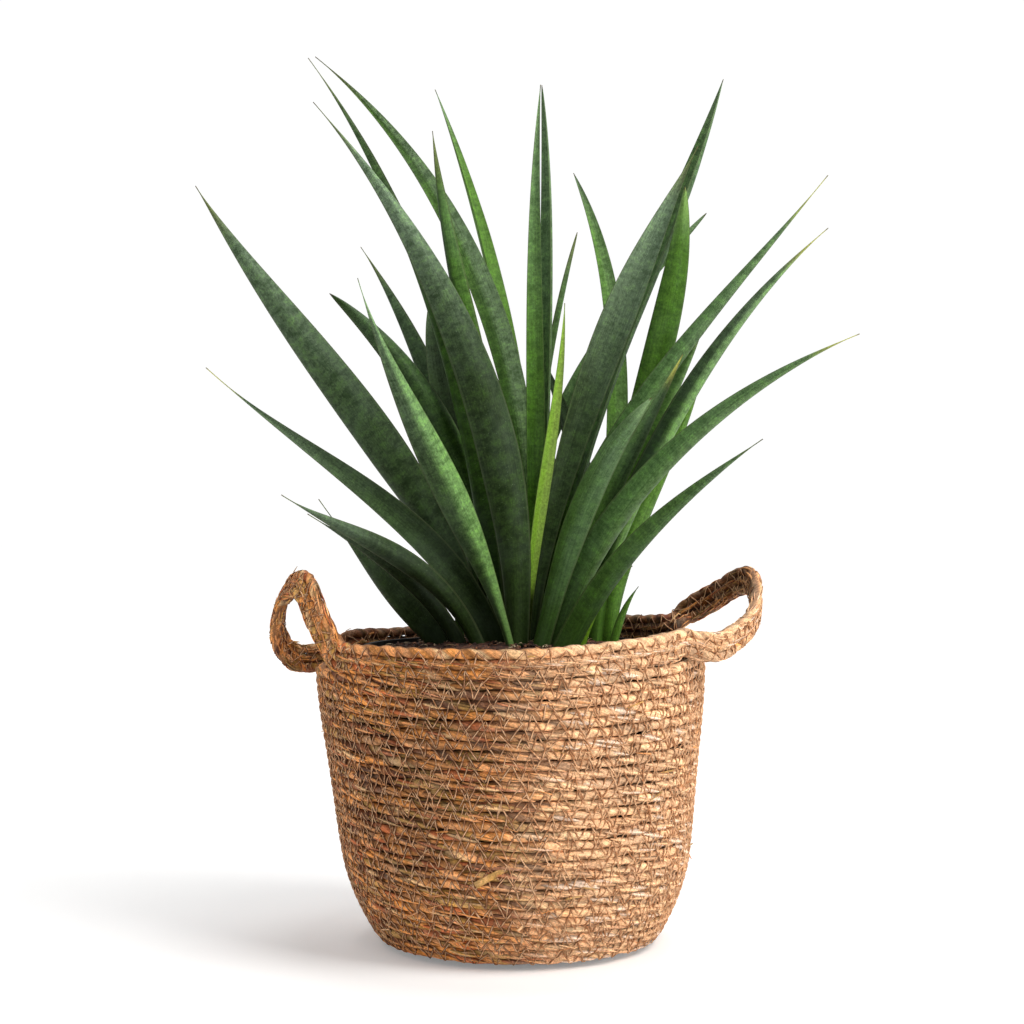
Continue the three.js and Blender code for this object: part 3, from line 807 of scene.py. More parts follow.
def seagrass_finish():
    """Dry twisted blades: each has its own tone, patches of wear, lengthwise fibre and flecks.

    Painted shade darkens the creases where strands meet and rows touch, and the edges of flat blades.
    """

    def build(recipe):
        fibre = recipe.shared(fibre_effect(), {"Grain": recipe.field("grain", "Vector"), "Depth": 3.4})
        wear_and_light = recipe.times(patches(recipe, recipe.place(), 95.0), 0.18)
        colour = recipe.blend(wear_and_light, recipe.field("tone", "Color"), WORN)
        colour = recipe.tint(colour, fibre["Shade"])
        flecks = recipe.speckle(recipe.place(), 760.0, 3.0, 0.7)
        colour = recipe.tint(colour, recipe.factor(flecks, 2.2))
        return {
            "Base Color": recipe.blend(recipe.field("crease"), colour, CREASE_SHADE),
            "Normal": recipe.bump(0.55, 0.0007, fibre["Height"]),
            "Roughness": recipe.plus(recipe.times(fibre["Height"], 0.3), 0.5),
            "Specular IOR Level": 0.35,
        }

    return finish("dry_seagrass", build)


def thread_finish():
    """Pale sewing thread with a fine twist. Its flanks are painted dark, as the shadow it casts on the cord.
    """

    def build(recipe):
        place = recipe.place()
        cloud = recipe.speckle(place, 300.0, 2.0)
        tone = recipe.field("tone", "Color")
        dim = recipe.tint(tone, THREAD_DIM)
        colour = recipe.blend(recipe.ramp(cloud, 0.4, 0.62), dim, recipe.blend(0.4, tone, THREAD_LIGHT))
        # Painted shadow on the flanks
        shadow = recipe.ramp(recipe.field("crease"), 0.35, 0.8)
        return {
            "Base Color": recipe.blend(shadow, colour, THREAD_SHADOW),
            "Normal": recipe.bump(0.3, 0.0003, recipe.speckle(place, 1500.0, 1.0)),
            "Roughness": 0.7,
        }

    return finish("sewing_thread", build)


def leaf_finish():
    """Tough waxy leaf skin.

    The tone field gives the colour. Over it go pale broken cross bands and dark ones between them, fine
    lengthwise lines, pale specks, fine light and dark dots, a thin grey wax bloom and a horny margin with a
    pale line inside it.
    """

    def build(recipe):
        place = recipe.field("skin", "Vector")
        tone = recipe.field("tone", "Color")
        strength = recipe.field("mottle")
        bands = recipe.speckle(recipe.stretched(place, 0.13, 0.16), 1.0, 6.0, 0.72)
        broken = recipe.speckle(recipe.stretched(place, 0.6, 0.5), 1.0, 4.0, 0.75)
        light = recipe.times(recipe.ramp(bands, 0.47, 0.63), recipe.ramp(broken, 0.30, 0.62))
        light = recipe.times(recipe.times(light, strength), 0.95)
        skin = recipe.blend(light, tone, recipe.tint(tone, PALE_BAND))
        dark = recipe.times(recipe.ramp(bands, 0.52, 0.38), strength)
        skin = recipe.blend(recipe.times(dark, 0.8), skin, recipe.tint(skin, DARK_BAND))
        lines = recipe.speckle(recipe.stretched(place, 1.3, 0.012), 1.0, 3.0, 0.65)
        lined = recipe.times(recipe.maths("SUBTRACT", lines, 0.5), recipe.field("lines"))
        skin = recipe.tint(skin, recipe.plus(recipe.times(lined, 1.5), 1.0))
        specks = recipe.speckle(recipe.stretched(place, 0.95, 0.6), 1.0, 2.0, 0.85)
        fleck = recipe.times(recipe.ramp(specks, 0.62, 0.74), strength)
        skin = recipe.blend(recipe.times(fleck, 0.22), skin, SPECK)
        dots = recipe.speckle(recipe.stretched(place, 0.8, 0.5), 1.0, 3.0, 0.8)
        skin = recipe.tint(skin, recipe.factor(dots, 1.9))
        bloom = patches(recipe, recipe.stretched(place, 0.05, 0.02), 1.0)
        skin = recipe.blend(recipe.times(bloom, 0.05), skin, BLOOM)
        margin = recipe.field("margin")
        skin = recipe.blend(recipe.times(recipe.ramp(margin, 0.2, 0.55), 0.10), skin, MARGIN_LINE)
        skin = recipe.blend(recipe.times(recipe.ramp(margin, 0.7, 0.95), 0.32), skin, MARGIN)
        height = recipe.plus(recipe.times(lines, 0.8), recipe.times(broken, 0.35))
        return {
            "Base Color": skin,
            "Normal": recipe.bump(0.35, 0.0006, height),
            "Roughness": recipe.plus(recipe.times(broken, 0.24), 0.34),
            "Specular IOR Level": 0.07,
        }

    return finish("leaf_skin", build)


def soil_finish():
    """Dark damp potting soil with brown grains."""

    def build(recipe):
        grains = recipe.speckle(recipe.place(), 380.0, 4.0, 0.7)
        return {
            "Base Color": recipe.blend(recipe.ramp(grains, 0.38, 0.58), DAMP, recipe.field("tone", "Color")),
            "Normal": recipe.bump(0.8, 0.0012, grains),
            "Roughness": recipe.plus(recipe.times(grains, 0.2), 0.75),
        }

    return finish("potting_soil", build)


def pot_finish():
    """Thin black moulded plastic, dusty in patches."""

    def build(recipe):
        dust = patches(recipe, recipe.place(), 60.0)
        return {
            "Base Color": recipe.blend(recipe.times(dust, 0.35), PLASTIC, POT_DUST),
            "Normal": recipe.bump(0.2, 0.0003, recipe.speckle(recipe.place(), 500.0)),
            "Roughness": recipe.plus(recipe.times(dust, 0.2), 0.66),
            "Specular IOR Level": 0.2,
        }

    return finish("nursery_plastic", build)


def rim_lift(angle):
    """How far the rim stands up at a compass angle: a wide soft bump of a raised cosine."""
    return LIFT * np.maximum(0, np.cos((angle - LIFT_AT) * LIFT_SPREAD)) ** LIFT_SHAPE


def basket_place(r, a, z):
    """The place at a radius, compass angle and height: the basket leans, and its top follows the rim."""
    x, y = r * np.cos(a), r * np.sin(a)
    turn = (np.arctan2(y, x) - LIFT_AT + np.pi) % TAU - np.pi + LIFT_AT
    high = np.maximum(0, (z - LIFT_FROM) / (RIM_TOP - LIFT_FROM))
    return np.stack([x + LEAN * z / RIM_TOP, y, z + rim_lift(turn) * high**LIFT_EASE], axis=-1)


def spoke(outward, upward, a):
    """The direction that goes so far outward and so far upward at a compass angle."""
    return np.stack([outward * np.cos(a), outward * np.sin(a), upward + 0 * a], -1)


def squared(v, along):
    """The direction v, turned square to along."""
    return unit(v - along * (v * along).sum(-1, keepdims=True))


def loop_way(path):
    """The direction in which a closed run of points goes."""
    return unit(np.roll(path, -1, 0) - np.roll(path, 1, 0))


def wall_profile(count):
    """Points (radius, height) up the wall's outer side at even distances, and its outward direction there."""
    curve = spline(WALL_OUTLINE, count, 0)
    along = unit(np.gradient(curve, axis=0))
    return curve, np.stack([along[:, 1], -along[:, 0]], axis=1)


def twisted_cord(path, out, up, seed, radius, lay, around, closed, shares, pinch=PINCH):
    """A two-strand cord along a path.

    Its section at a place is a circle pinched in on two opposite sides, where the strands meet, and it turns
    once in every lay millimetres, falling to the right. The lay, each strand's thickness and the middle line
    wander, except at the join of a closed cord. A strand is made of blades: each length that shows outside
    draws one tone, and its two halves differ a little. Faces turned into the basket take painted shade, less
    so left of the wall, where they are lit. Returns the points, the tones, the painted shade of the creases
    where the strands meet and where the rows touch, and the grain, as fields in arrays of rings by around.
    """
    step = np.linalg.norm(np.diff(path, axis=0, append=path[:1] if closed else path[-1:]), axis=1)
    along = np.r_[0, np.cumsum(step)][: len(path)]
    whole = along[-1] + step[-1]
    turns = max(1, round(whole / lay)) if closed else whole / lay
    loose = ease(0, JOIN, along) * ease(0, JOIN, whole - along) if closed else np.ones_like(along)

    def wander(length, row, number):
        spot = [along / length, np.full_like(along, seed * SEED_APART[0]), np.full_like(along, row)]
        return noise(np.stack(spot, -1), number)

    twist = -TAU * turns * along / whole + TURN_WANDER * loose * wander(TURN_LENGTH, 0, 5)
    j = (np.arange(around) + 0.5) / around * TAU + np.pi / 2
    strand = (np.cos(j) < 0).astype(np.int64)[None]
    lobe = pinch + (1 - pinch) * np.abs(np.cos(j)) ** 0.8
    swell = [wander(SWELL_LENGTH, row, 8)[:, None] for row in (9, 17)]
    swell = np.where(strand == 0, *swell)
    r = radius * lobe * (1 + SWELL * (1 - pinch) * loose[:, None] * swell)
    angle = j[None] + twist[:, None]
    across, rise = np.cos(angle), np.sin(angle)
    height = r * rise * TALLER + loose[:, None] * SHIFT * wander(SHIFT_LENGTH, 31, 9)[:, None]
    points = path[:, None] + out[:, None] * (r * across)[..., None] + up[:, None] * height[..., None]
    blade = np.floor((twist[:, None] + np.pi * strand) / TAU + 0.5).astype(np.int64) % BLADE_KINDS
    half = (np.sin(j - np.pi * strand[0]) > 0.15).astype(np.int64)[None]
    pick = scatter(blade * 2 + half * (scatter(blade, strand, seed, 31) > 0.6), strand, seed, 11)
    light = spread(*CORD_LIGHT, scatter(blade, strand, seed, 29))
    light = light + HALF_LIGHT * (scatter(blade * 2 + half, strand, seed, 7) - 0.5)
    tones = drawn(shares, pick) * light[..., None]
    # Painted shade on faces turned in, weaker left of the wall, where those faces are lit
    inside_shade = ease(*TURNED_IN, across) * (1 - OPEN_LEFT * ease(*LEFT_OF_WALL, points[..., 0]))
    tones = tones * mix(np.ones(3), np.array(INSIDE_SHADE), inside_shade)
    # Painted shade where the two strands meet and where the cord touches the rows above and below
    crease = 0.95 * np.exp(-((np.abs(np.cos(j)) / 0.26) ** 2))[None]
    crease = np.maximum(crease, 0.75 * ease(0.74, 1.0, np.abs(rise)))
    grain = np.stack(np.broadcast_arrays(along[:, None], j * radius, seed * SEED_APART[1]), -1)
    return points, tones, crease, grain


def cord_part(cord, quads, fans, softer):
    """A cord as a part of a bundle, its tones given weathering and painted light.

    Its painted shade in the creases is softer in the pale, lit patch.
    """
    points, tones, crease, grain = cord
    fields = {"crease": crease * (1 - softer * pale_and_lit(points)), "grain": grain}
    return points, quads, fans, weathered_and_lit(points, tones), fields


def weathered_and_lit(points, tones):
    """Paler, pinker blades in the pale, lit patch, and slow light and dark patches all round.

    The pale, lit patch right of the front is partly paler seagrass and partly painted light where the key
    light falls. The left side, the foot and the near leg of the left handle are paler too, as painted light.
    A tone that gets too bright keeps its hue.
    """
    pale = pale_and_lit(points)
    x, y, z = np.moveaxis(points, -1, 0)
    # Slow patches at random; the paler foot, left side and near leg of the left handle are painted light
    slow = (1 + 0.2 * noise(points / PATCH_SIZE, 42)) * (1 + FOOT_PALER * ease(*FOOT_HEIGHT, z))
    slow = slow * spread(*LEFT_PALER, ease(*LEFT_SIDE, x))
    slow = slow * (1 + LEG_PALER * ease(*LEG_LEFT, x) * ease(*LEG_FRONT, y))
    tones = tones * slow[..., None] * WARM
    tones = tones / np.maximum(tones.max(-1, keepdims=True), 1)
    shade = np.clip((tones.mean(-1, keepdims=True) / 0.3) ** 0.4, 0.65, 1.25)
    return mix(tones, np.array(PALE_LIT) * shade, pale)


def pale_and_lit_way(points):
    """How far a place lies towards the middle of the pale, lit patch: 1 there, 0 a quarter round from it."""
    return np.cos(np.arctan2(points[..., 1], points[..., 0]) - PALE_LIT_AT)


def pale_and_lit(points):
    """How pale and lit a place is: most in a broad patch right of the front, uneven.

    It is partly paler seagrass and partly painted light where the key light falls.
    """
    uneven = spread(0.84, 0.16, noise(points / 11, 41))
    return PALE_LIT_AT_MOST * ease(*PALE_LIT_FROM, pale_and_lit_way(points)) * uneven


def wall_rows(settings):
    """Path and directions of every wall row: a circle at the profile's place, moved in by half a cord."""
    count = settings.wall_rows
    curve, outward = wall_profile(count * ROW_STEPS + 1)
    a = np.arange(settings.wall_steps) / settings.wall_steps * TAU
    for k in range(count):
        i = k * ROW_STEPS + ROW_STEPS // 2
        r, z = curve[i] - outward[i] * (settings.cord_radius - CORD_PROUD)
        path = basket_place(r, a, z)
        along = loop_way(path)
        out = squared(spoke(*outward[i], a), along)
        yield path, out, np.cross(out, along), k + 1


def rim_loop():
    """Middle line of the rim band and the two handles as one closed loop, front band first, anticlockwise.

    Returns the points, the outward and upward directions, and the number where each of the four runs ends.
    """

    def band_place(degrees):
        a = np.radians(np.asarray(degrees, float))
        return basket_place(TOP_RADIUS - STRAP_THICK / 2, a, WALL_TOP + SEAT + STRAP_WIDE / 2)

    def handle(middle, start, stop, turn):
        first = band_place([start + step * turn for step in HANDLE_STEPS_OFF])
        last = band_place([stop - step * turn for step in HANDLE_STEPS_OFF[::-1]])
        first[2, 2] += HANDLE_RISE
        last[0, 2] += HANDLE_RISE
        return np.vstack([first, middle, last])

    front = band_place(np.linspace(-180 + BAND_END, -BAND_END, 60))
    right = handle(RIGHT_HANDLE, -BAND_END, BAND_END, 1)
    back = band_place(np.linspace(BAND_END, 180 - BAND_END, 60))
    left = handle(LEFT_HANDLE, -180 + BAND_END, 180 - BAND_END, -1)[::-1]
    front, back = even(front, BAND_STEPS), even(back, BAND_STEPS)
    runs = [front, spline(right, HANDLE_STEPS), back, spline(left, HANDLE_STEPS)]
    path = np.vstack([run[:-1] for run in runs])
    ends = np.cumsum([0] + [len(run) - 1 for run in runs])
    kernel = np.ones(5) / 5
    padded = np.vstack([path[-2:], path, path[:2]])
    path = np.stack([np.convolve(padded[:, k], kernel, "valid") for k in range(3)], axis=1)
    along = loop_way(path)
    out = squared(path * [1, 1, 0], along)
    up = np.cross(out, along)
    run = (np.arange(len(path)) - ends[3]) / (ends[4] - ends[3])
    roll = (np.radians(NEAR_LEG_ROLL) * ease(0.45, 0.68, run) * ease(1.0, 0.84, run))[:, None]
    return path, out * np.cos(roll) + up * np.sin(roll), up * np.cos(roll) - out * np.sin(roll), ends


def threaded(line, along, out, width, foot, ridge):
    """A three-sided thread along a line: a low triangle set square to it, with its apex outwards.

    Its other corners lie below the line by the share foot of its width, and its apex above it by ridge.
    """
    side = unit(np.cross(along, out)) * width / 2
    section = (side - out * width * foot, out * width * ridge, -side - out * width * foot)
    return line[:, None] + np.stack(section, axis=1)


def millimetres(name, description, default, low, high):
    """A setting for a length."""
    return FloatProperty(
        name=name, description=f"{description}, in millimetres", default=default, min=low, max=high
    )


def whole_number(name, description, default, low, high):
    """A setting that counts."""
    return IntProperty(name=name, description=description, default=default, min=low, max=high)


def amount(name, description, default, low, high, unit="NONE"):
    """A setting in one of Blender's own units or in none."""
    return FloatProperty(name=name, description=description, default=default, min=low, max=high, unit=unit)


def chosen_colour(name, description, default):
    """A setting for a colour."""
    return FloatVectorProperty(
        name=name, description=description, default=default, subtype="COLOR", min=0, max=1
    )


class BasketSettings(bpy.types.PropertyGroup):
    """Sizes of the sewn seagrass basket."""

    cord_radius: millimetres("Cord radius", "Half the thickness of one twisted cord", 3.25, 1, 6)
    cord_lay: millimetres("Cord lay", "Length in which a wall cord turns once", 42.0, 10, 200)
    rim_lay: millimetres("Rim lay", "Length in which the rim's top cord turns once", 23.0, 10, 200)
    wall_rows: whole_number("Wall rows", "Cord rows in the wall", 30, 3, 60)
    wall_steps: whole_number("Steps round", "Rings of points in one wall row", 280, 48, 720)
    cord_sides: whole_number("Cord sides", "Points round a cord", 12, 6, 24)
    wall_blades: whole_number("Wall blades", "Flat blades over the wall's rows", 1900, 1, 4000)
    strap_blades: whole_number("Strap blades", "Flat blades over the rim and handles", 1900, 1, 3000)
    base_rows: whole_number("Base rows", "Cord rows in the flat base", 13, 3, 30)


class ThreadSettings(bpy.types.PropertyGroup):
    """Sizes and colour of the sewing thread."""

    width: millimetres("Thread width", "Width of the thread and its groove", 1.1, 0.1, 2)
    period: millimetres("Stitch period", "Length of one zig-zag along a wall row", 11.2, 3, 40)
    reach: millimetres("Stitch reach", "How far a stitch reaches above and below its seam", 5.9, 1, 12)
    colour: chosen_colour("Thread colour", "Colour of the sewing thread", paint(206, 150, 104))


class LeafSettings(bpy.types.PropertyGroup):
    """Fineness of the leaves."""

    stations: whole_number("Stations", "Rings of points along one leaf", 84, 20, 300)
    sides: whole_number("Face points", "Points across one face of a leaf", 13, 5, 41)
    waviness: millimetres("Waviness", "How far a leaf's margins wander", 0.35, 0, 3)


class SoilSettings(bpy.types.PropertyGroup):
    """Grain of the potting soil."""

    relief: millimetres("Relief", "Height of the soil's lumps", 2.2, 0, 6)
    crumbs: whole_number("Crumbs", "Loose lumps and bark chips on the soil", 620, 0, 3000)


class StageSettings(bpy.types.PropertyGroup):
    """Camera, light and floor."""

    camera_distance: amount("Camera distance", "From camera to basket", 1.2, 0.3, 5, "LENGTH")
    camera_height: amount("Camera height", "Height of the level camera", 0.266, 0, 3, "LENGTH")
    lens: millimetres("Lens", "Focal length", 67.5, 10, 300)
    floor_colour: chosen_colour("Floor colour", "Colour of the pale floor", (0.86, 0.86, 0.86))
    floor_glow: amount("Far floor glow", "White added to the far floor as the camera sees it", 0.56, 0, 1)
    near_glow: amount("Near floor glow", "White added to the floor round the basket", 0.115, 0, 1)
    key_power: amount("Key light", "Power of the large soft light", 43.0, 0, 1000, "POWER")
    world_light: amount("Room light", "Strength of the white surroundings", 0.55, 0, 5)


class PLANT_OT_basket_base(bpy.types.Operator):
    """Flat coil of cord under the pot"""

    bl_idname = "plant.basket_base"
    bl_label = "Basket base"

    def execute(self, context):
        settings = context.scene.plant_basket
        path, out, up = coil_path(settings)
        radius, lay, sides = settings.cord_radius * BASE_THICK, settings.cord_lay, settings.cord_sides
        cord = twisted_cord(path, up, -out, BASE_SEED, radius, lay, sides, False, WALL_SHARES, BASE_PINCH)
        points, tones, crease, grain = cord
        quads, fans = tube_faces(len(path), sides, False), tube_ends(len(path), sides)
        piece = surface(
            "basket_base_coil", points, quads, seagrass_finish(), fans, tones, crease=crease, grain=grain
        )
        settle(piece, "seagrass", "basket_base")
        return {"FINISHED"}


def coil_path(settings):
    """Flat spiral from the middle to the foot, one row per turn, with its outward and upward directions."""
    last = settings.base_rows - COIL_END
    turns = np.linspace(COIL_START, last, 1500)
    r = (FOOT_RADIUS - 1 - settings.cord_radius) * turns / last
    a = turns * TAU
    path = np.stack([r * np.cos(a), r * np.sin(a), np.full_like(a, settings.cord_radius + 0.05)], -1)
    path = even(path, COIL_STEPS)
    along = unit(np.gradient(path, axis=0))
    up = np.tile([0.0, 0.0, 1.0], (len(path), 1))
    return path, np.cross(along, up), up


class PLANT_OT_basket_wall(bpy.types.Operator):
    """Rows of twisted seagrass cord, foot to rim"""

    bl_idname = "plant.basket_wall"
    bl_label = "Basket wall"

    def execute(self, context):
        settings = context.scene.plant_basket
        steps, sides, radius = settings.wall_steps, settings.cord_sides, settings.cord_radius
        parts = []
        for row in wall_rows(settings):
            cord = twisted_cord(*row, radius, settings.cord_lay, sides, True, WALL_SHARES)
            parts.append(cord_part(cord, tube_faces(steps, sides, True), (), 0.55))
        half = len(parts) // 2
        for name, some in (("basket_wall_low", parts[:half]), ("basket_wall_high", parts[half:])):
            settle(bundle(name, seagrass_finish(), some), "seagrass", "basket_wall")
        return {"FINISHED"}


class PLANT_OT_rim_and_handles(bpy.types.Operator):
    """The three rows that run round the rim and out into the two handles"""

    bl_idname = "plant.rim_and_handles"
    bl_label = "Rim and handles"

    def execute(self, context):
        settings = context.scene.plant_basket
        path, out, up, ends = rim_loop()
        cords = []
        thick, lay = settings.cord_radius, settings.cord_lay * STRAP_LAY
        for seed, rise, radius, lay, shares, pinch in (
            (40, -STRAP_PITCH, thick * LOW_ROWS_THICK, lay, WALL_SHARES, STRAP_PINCH),
            (41, 0.0, thick * LOW_ROWS_THICK, lay, WALL_SHARES, STRAP_PINCH),
            (42, STRAP_PITCH + TOP_ROW_RAISE, thick * TOP_ROW_THICK, settings.rim_lay, RIM_SHARES, PINCH),
        ):
            line = path + up * rise
            cords.append(twisted_cord(line, out, up, seed, radius, lay, STRAP_SIDES, True, shares, pinch))
        for k, node in enumerate(("rim_band_front", "handle_right", "rim_band_back", "handle_left")):
            which = np.arange(ends[k], ends[k + 1] + 1) % len(path)
            quads, fans = tube_faces(len(which), STRAP_SIDES, False), tube_ends(len(which), STRAP_SIDES)
            parts = [cord_part([field[which] for field in cord], quads, fans, 0.5) for cord in cords]
            settle(bundle(f"{node}_cords", seagrass_finish(), parts), "seagrass", node)
        return {"FINISHED"}


class PLANT_OT_stitches(bpy.types.Operator):
    """Zig-zag sewing thread over the wall, the rim and the handles"""

    bl_idname = "plant.stitches"
    bl_label = "Stitches"

    def execute(self, context):
        basket = context.scene.plant_basket
        thread = context.scene.plant_thread
        for name, lines in (
            ("wall_stitches", wall_stitches(basket, thread, outside=True)),
            ("inner_stitches", wall_stitches(basket, thread, outside=False)),
            ("rim_stitches", rim_stitches(basket, thread)),
        ):
            parts = [thread_part(line, k, thread) for k, line in enumerate(lines)]
            settle(bundle(name, thread_finish(), parts), "seagrass")
        return {"FINISHED"}


def thread_part(line, number, thread):
    """A closed thread as a part of a bundle, with painted shadow on its sides.

    In the pale, lit patch it is paler, partly as painted light, and its painted shadow is weaker.
    """
    n = len(line)
    light = spread(*THREAD_LIGHTNESS, scatter(np.arange(n) // 12, number, 5))
    # Paler in the pale, lit patch, partly as painted light
    wear_and_light = pale_and_lit(line.mean(axis=1))
    tone = mix(np.array(thread.colour) * light[:, None], np.array(PALE_LIT_THREAD), 0.75 * wear_and_light)
    # Painted shadow on both flanks, weaker in the pale, lit patch
    fields = {"crease": np.outer(1 - 0.6 * wear_and_light, [1.0, 0.0, 1.0])}
    return line, tube_faces(n, 3, True), (), np.repeat(tone, 3, axis=0), fields


def stitch_corners(whole, period, reach, seed, phase):
    """Corner places of one zig-zag: even steps of half a period, each moved a little, up and down in turn.

    phase moves the whole zig-zag on by that share of a period.
    """
    count = 2 * max(4, round(whole / period))
    k = np.arange(count)
    at = (k + 2 * phase + CORNER_STRAY * (scatter(k, seed, 1) - 0.5) * 2) / count
    rise = np.where(k % 2 == 0, 1.0, -1.0) * reach * spread(*CORNER_RISE, scatter(k, seed, 2))
    return at, rise


def zigzag(at, rise):
    """Points along the legs between the corners, straight in place and rise, each as one closed run."""
    step = np.diff(np.r_[at, at[0] + 1])[:, None]
    drop = np.diff(np.r_[rise, rise[0]])[:, None]
    return (at[:, None] + step * ZIGZAG_LEG).ravel(), (rise[:, None] + drop * ZIGZAG_LEG).ravel()


def thread_lift(rise, reach):
    """Height of the thread over the cords' crowns: it dips at its own seam and where it dives at its ends."""
    seam = SEAM_DIP * np.exp(-((rise / SEAM_WIDE) ** 2))
    return THREAD_HIGH - (seam + END_DIP * np.exp(-(((np.abs(rise) - reach) / END_WIDE) ** 2)))


def closed_thread(line, out, width):
    return threaded(line, loop_way(line), out, width, 0.2, 0.25)


def wall_stitches(basket, thread, outside):
    """One zig-zag thread over each seam between two wall rows: all seams outside, the top ones inside."""
    rows = basket.wall_rows
    curve, outward = wall_profile(rows * ROW_STEPS + 1)
    length = np.linspace(0, 1, len(curve)) * np.linalg.norm(np.diff(curve, axis=0), axis=1).sum()
    first, seeds, period, depth, way = 1, 0, thread.period, 0.0, 1.0
    if not outside:
        first, seeds, period = rows - INNER_SEAMS, 90, thread.period * 1.5
        depth, way = -INNER_DEPTH * basket.cord_radius, -1.0
    for row in range(first, rows):
        middle = row * ROW_STEPS
        at, rise = stitch_corners(TAU * curve[middle, 0], period, thread.reach, row + seeds, -0.25 * row)
        place, height = zigzag(at, rise)
        spot = np.clip(length[middle] + height, 0, length[-1])
        r, z, nr, nz = follow(spot, length, np.hstack([curve, outward])).T
        lift = depth + way * thread_lift(height, thread.reach)
        a = place * TAU
        line = basket_place(r + nr * lift, a, z + nz * lift)
        yield closed_thread(line, spoke(nr, nz, a) * way, thread.width)


def rim_stitches(basket, thread):
    """Zig-zags over the rim's seams, on both faces of the band and the handles.

    On the handles and on the inner face, a stitch that reaches past the lower edge is tucked in there.
    """
    path, out, up, ends = rim_loop()
    closed = [np.vstack([v, v[:1]]) for v in (path, out, up)]
    far = lengths(closed[0])
    on_band = np.zeros((len(path), 1))
    on_band[ends[0]:ends[1]] = on_band[ends[2]:ends[3]] = 1
    on_band = np.vstack([on_band, on_band[:1]])
    for face in (1.0, -1.0):
        for row, seam in enumerate((-1.5, -0.5, 0.5)):
            seed = int(200 + 10 * seam + 40 * face)
            period, reach = thread.period * STRAP_PERIOD, thread.reach * STRAP_REACH
            at, rise = stitch_corners(far[-1], period, reach, seed, -0.25 * row)
            place, height = zigzag(at, rise)
            s = (place % 1) * far[-1]
            middle, outward, upward = (follow(s, far, v) for v in closed)
            high = seam * STRAP_PITCH + height
            lift = basket.cord_radius * 1.02 + thread_lift(height, thread.reach)
            free = 1 - follow(s, far, on_band)[:, 0] if face > 0 else np.ones(len(s))
            tucked = ease(0.0, 0.3, free) * ease(*TUCK_FROM, high)
            high = np.where(free > 0.05, np.maximum(high, STRAP_EDGE), high)
            lift = lift - TUCK_DEEP * tucked - BEND_DEEP * ease(*BEND_FROM, high)
            line = middle + outward * (face * lift)[:, None] + upward * high[:, None]
            yield closed_thread(line, outward * face, thread.width)


class PLANT_OT_loose_fibres(bpy.types.Operator):
    """Flat blades over the rows, and frayed blade ends that stand off the cords"""

    bl_idname = "plant.loose_fibres"
    bl_label = "Loose fibres"

    def execute(self, context):
        basket = context.scene.plant_basket
        for name, blades in (
            ("wall_blades", lens_blades(basket.wall_blades, 3, on_wall(basket, 3), 1.0)),
            ("strap_blades", lens_blades(basket.strap_blades, 5, on_straps(basket, 5), STRAP_BLADE_SIZE)),
        ):
            settle(bundle(name, seagrass_finish(), [blades]), "seagrass")
        parts, count = [], 0
        for line, face, wide, thick, tone in frayed_blades(basket):
            strip = flat_strip(line, face, wide, thick)
            n = len(strip)
            grain = np.broadcast_arrays(np.arange(n)[:, None] * 2.0, np.arange(4) * 0.4, count * 1.3)
            fields = {"crease": np.zeros(n * 4), "grain": np.stack(grain, -1)}
            parts.append((strip, strip_faces(n), (), np.tile(tone, (n * 4, 1)), fields))
            count += n * 4
        settle(bundle("loose_fibres", seagrass_finish(), parts), "seagrass")
        return {"FINISHED"}


def flat_strip(line, out, width, thick):
    """A flat pointed strip: four points at each place, its width falling to a point at the far end."""
    along = unit(np.gradient(line, axis=0))
    side = unit(np.cross(out, along))
    taper = np.sqrt(np.maximum(1 - np.linspace(0, 1, len(line)) ** 2.5, 0.02))[:, None]
    half = side * width / 2 * taper
    top = out * thick
    return np.stack([line - half * 0.8 + top, line + half * 0.8 + top, line + half, line - half], axis=1)


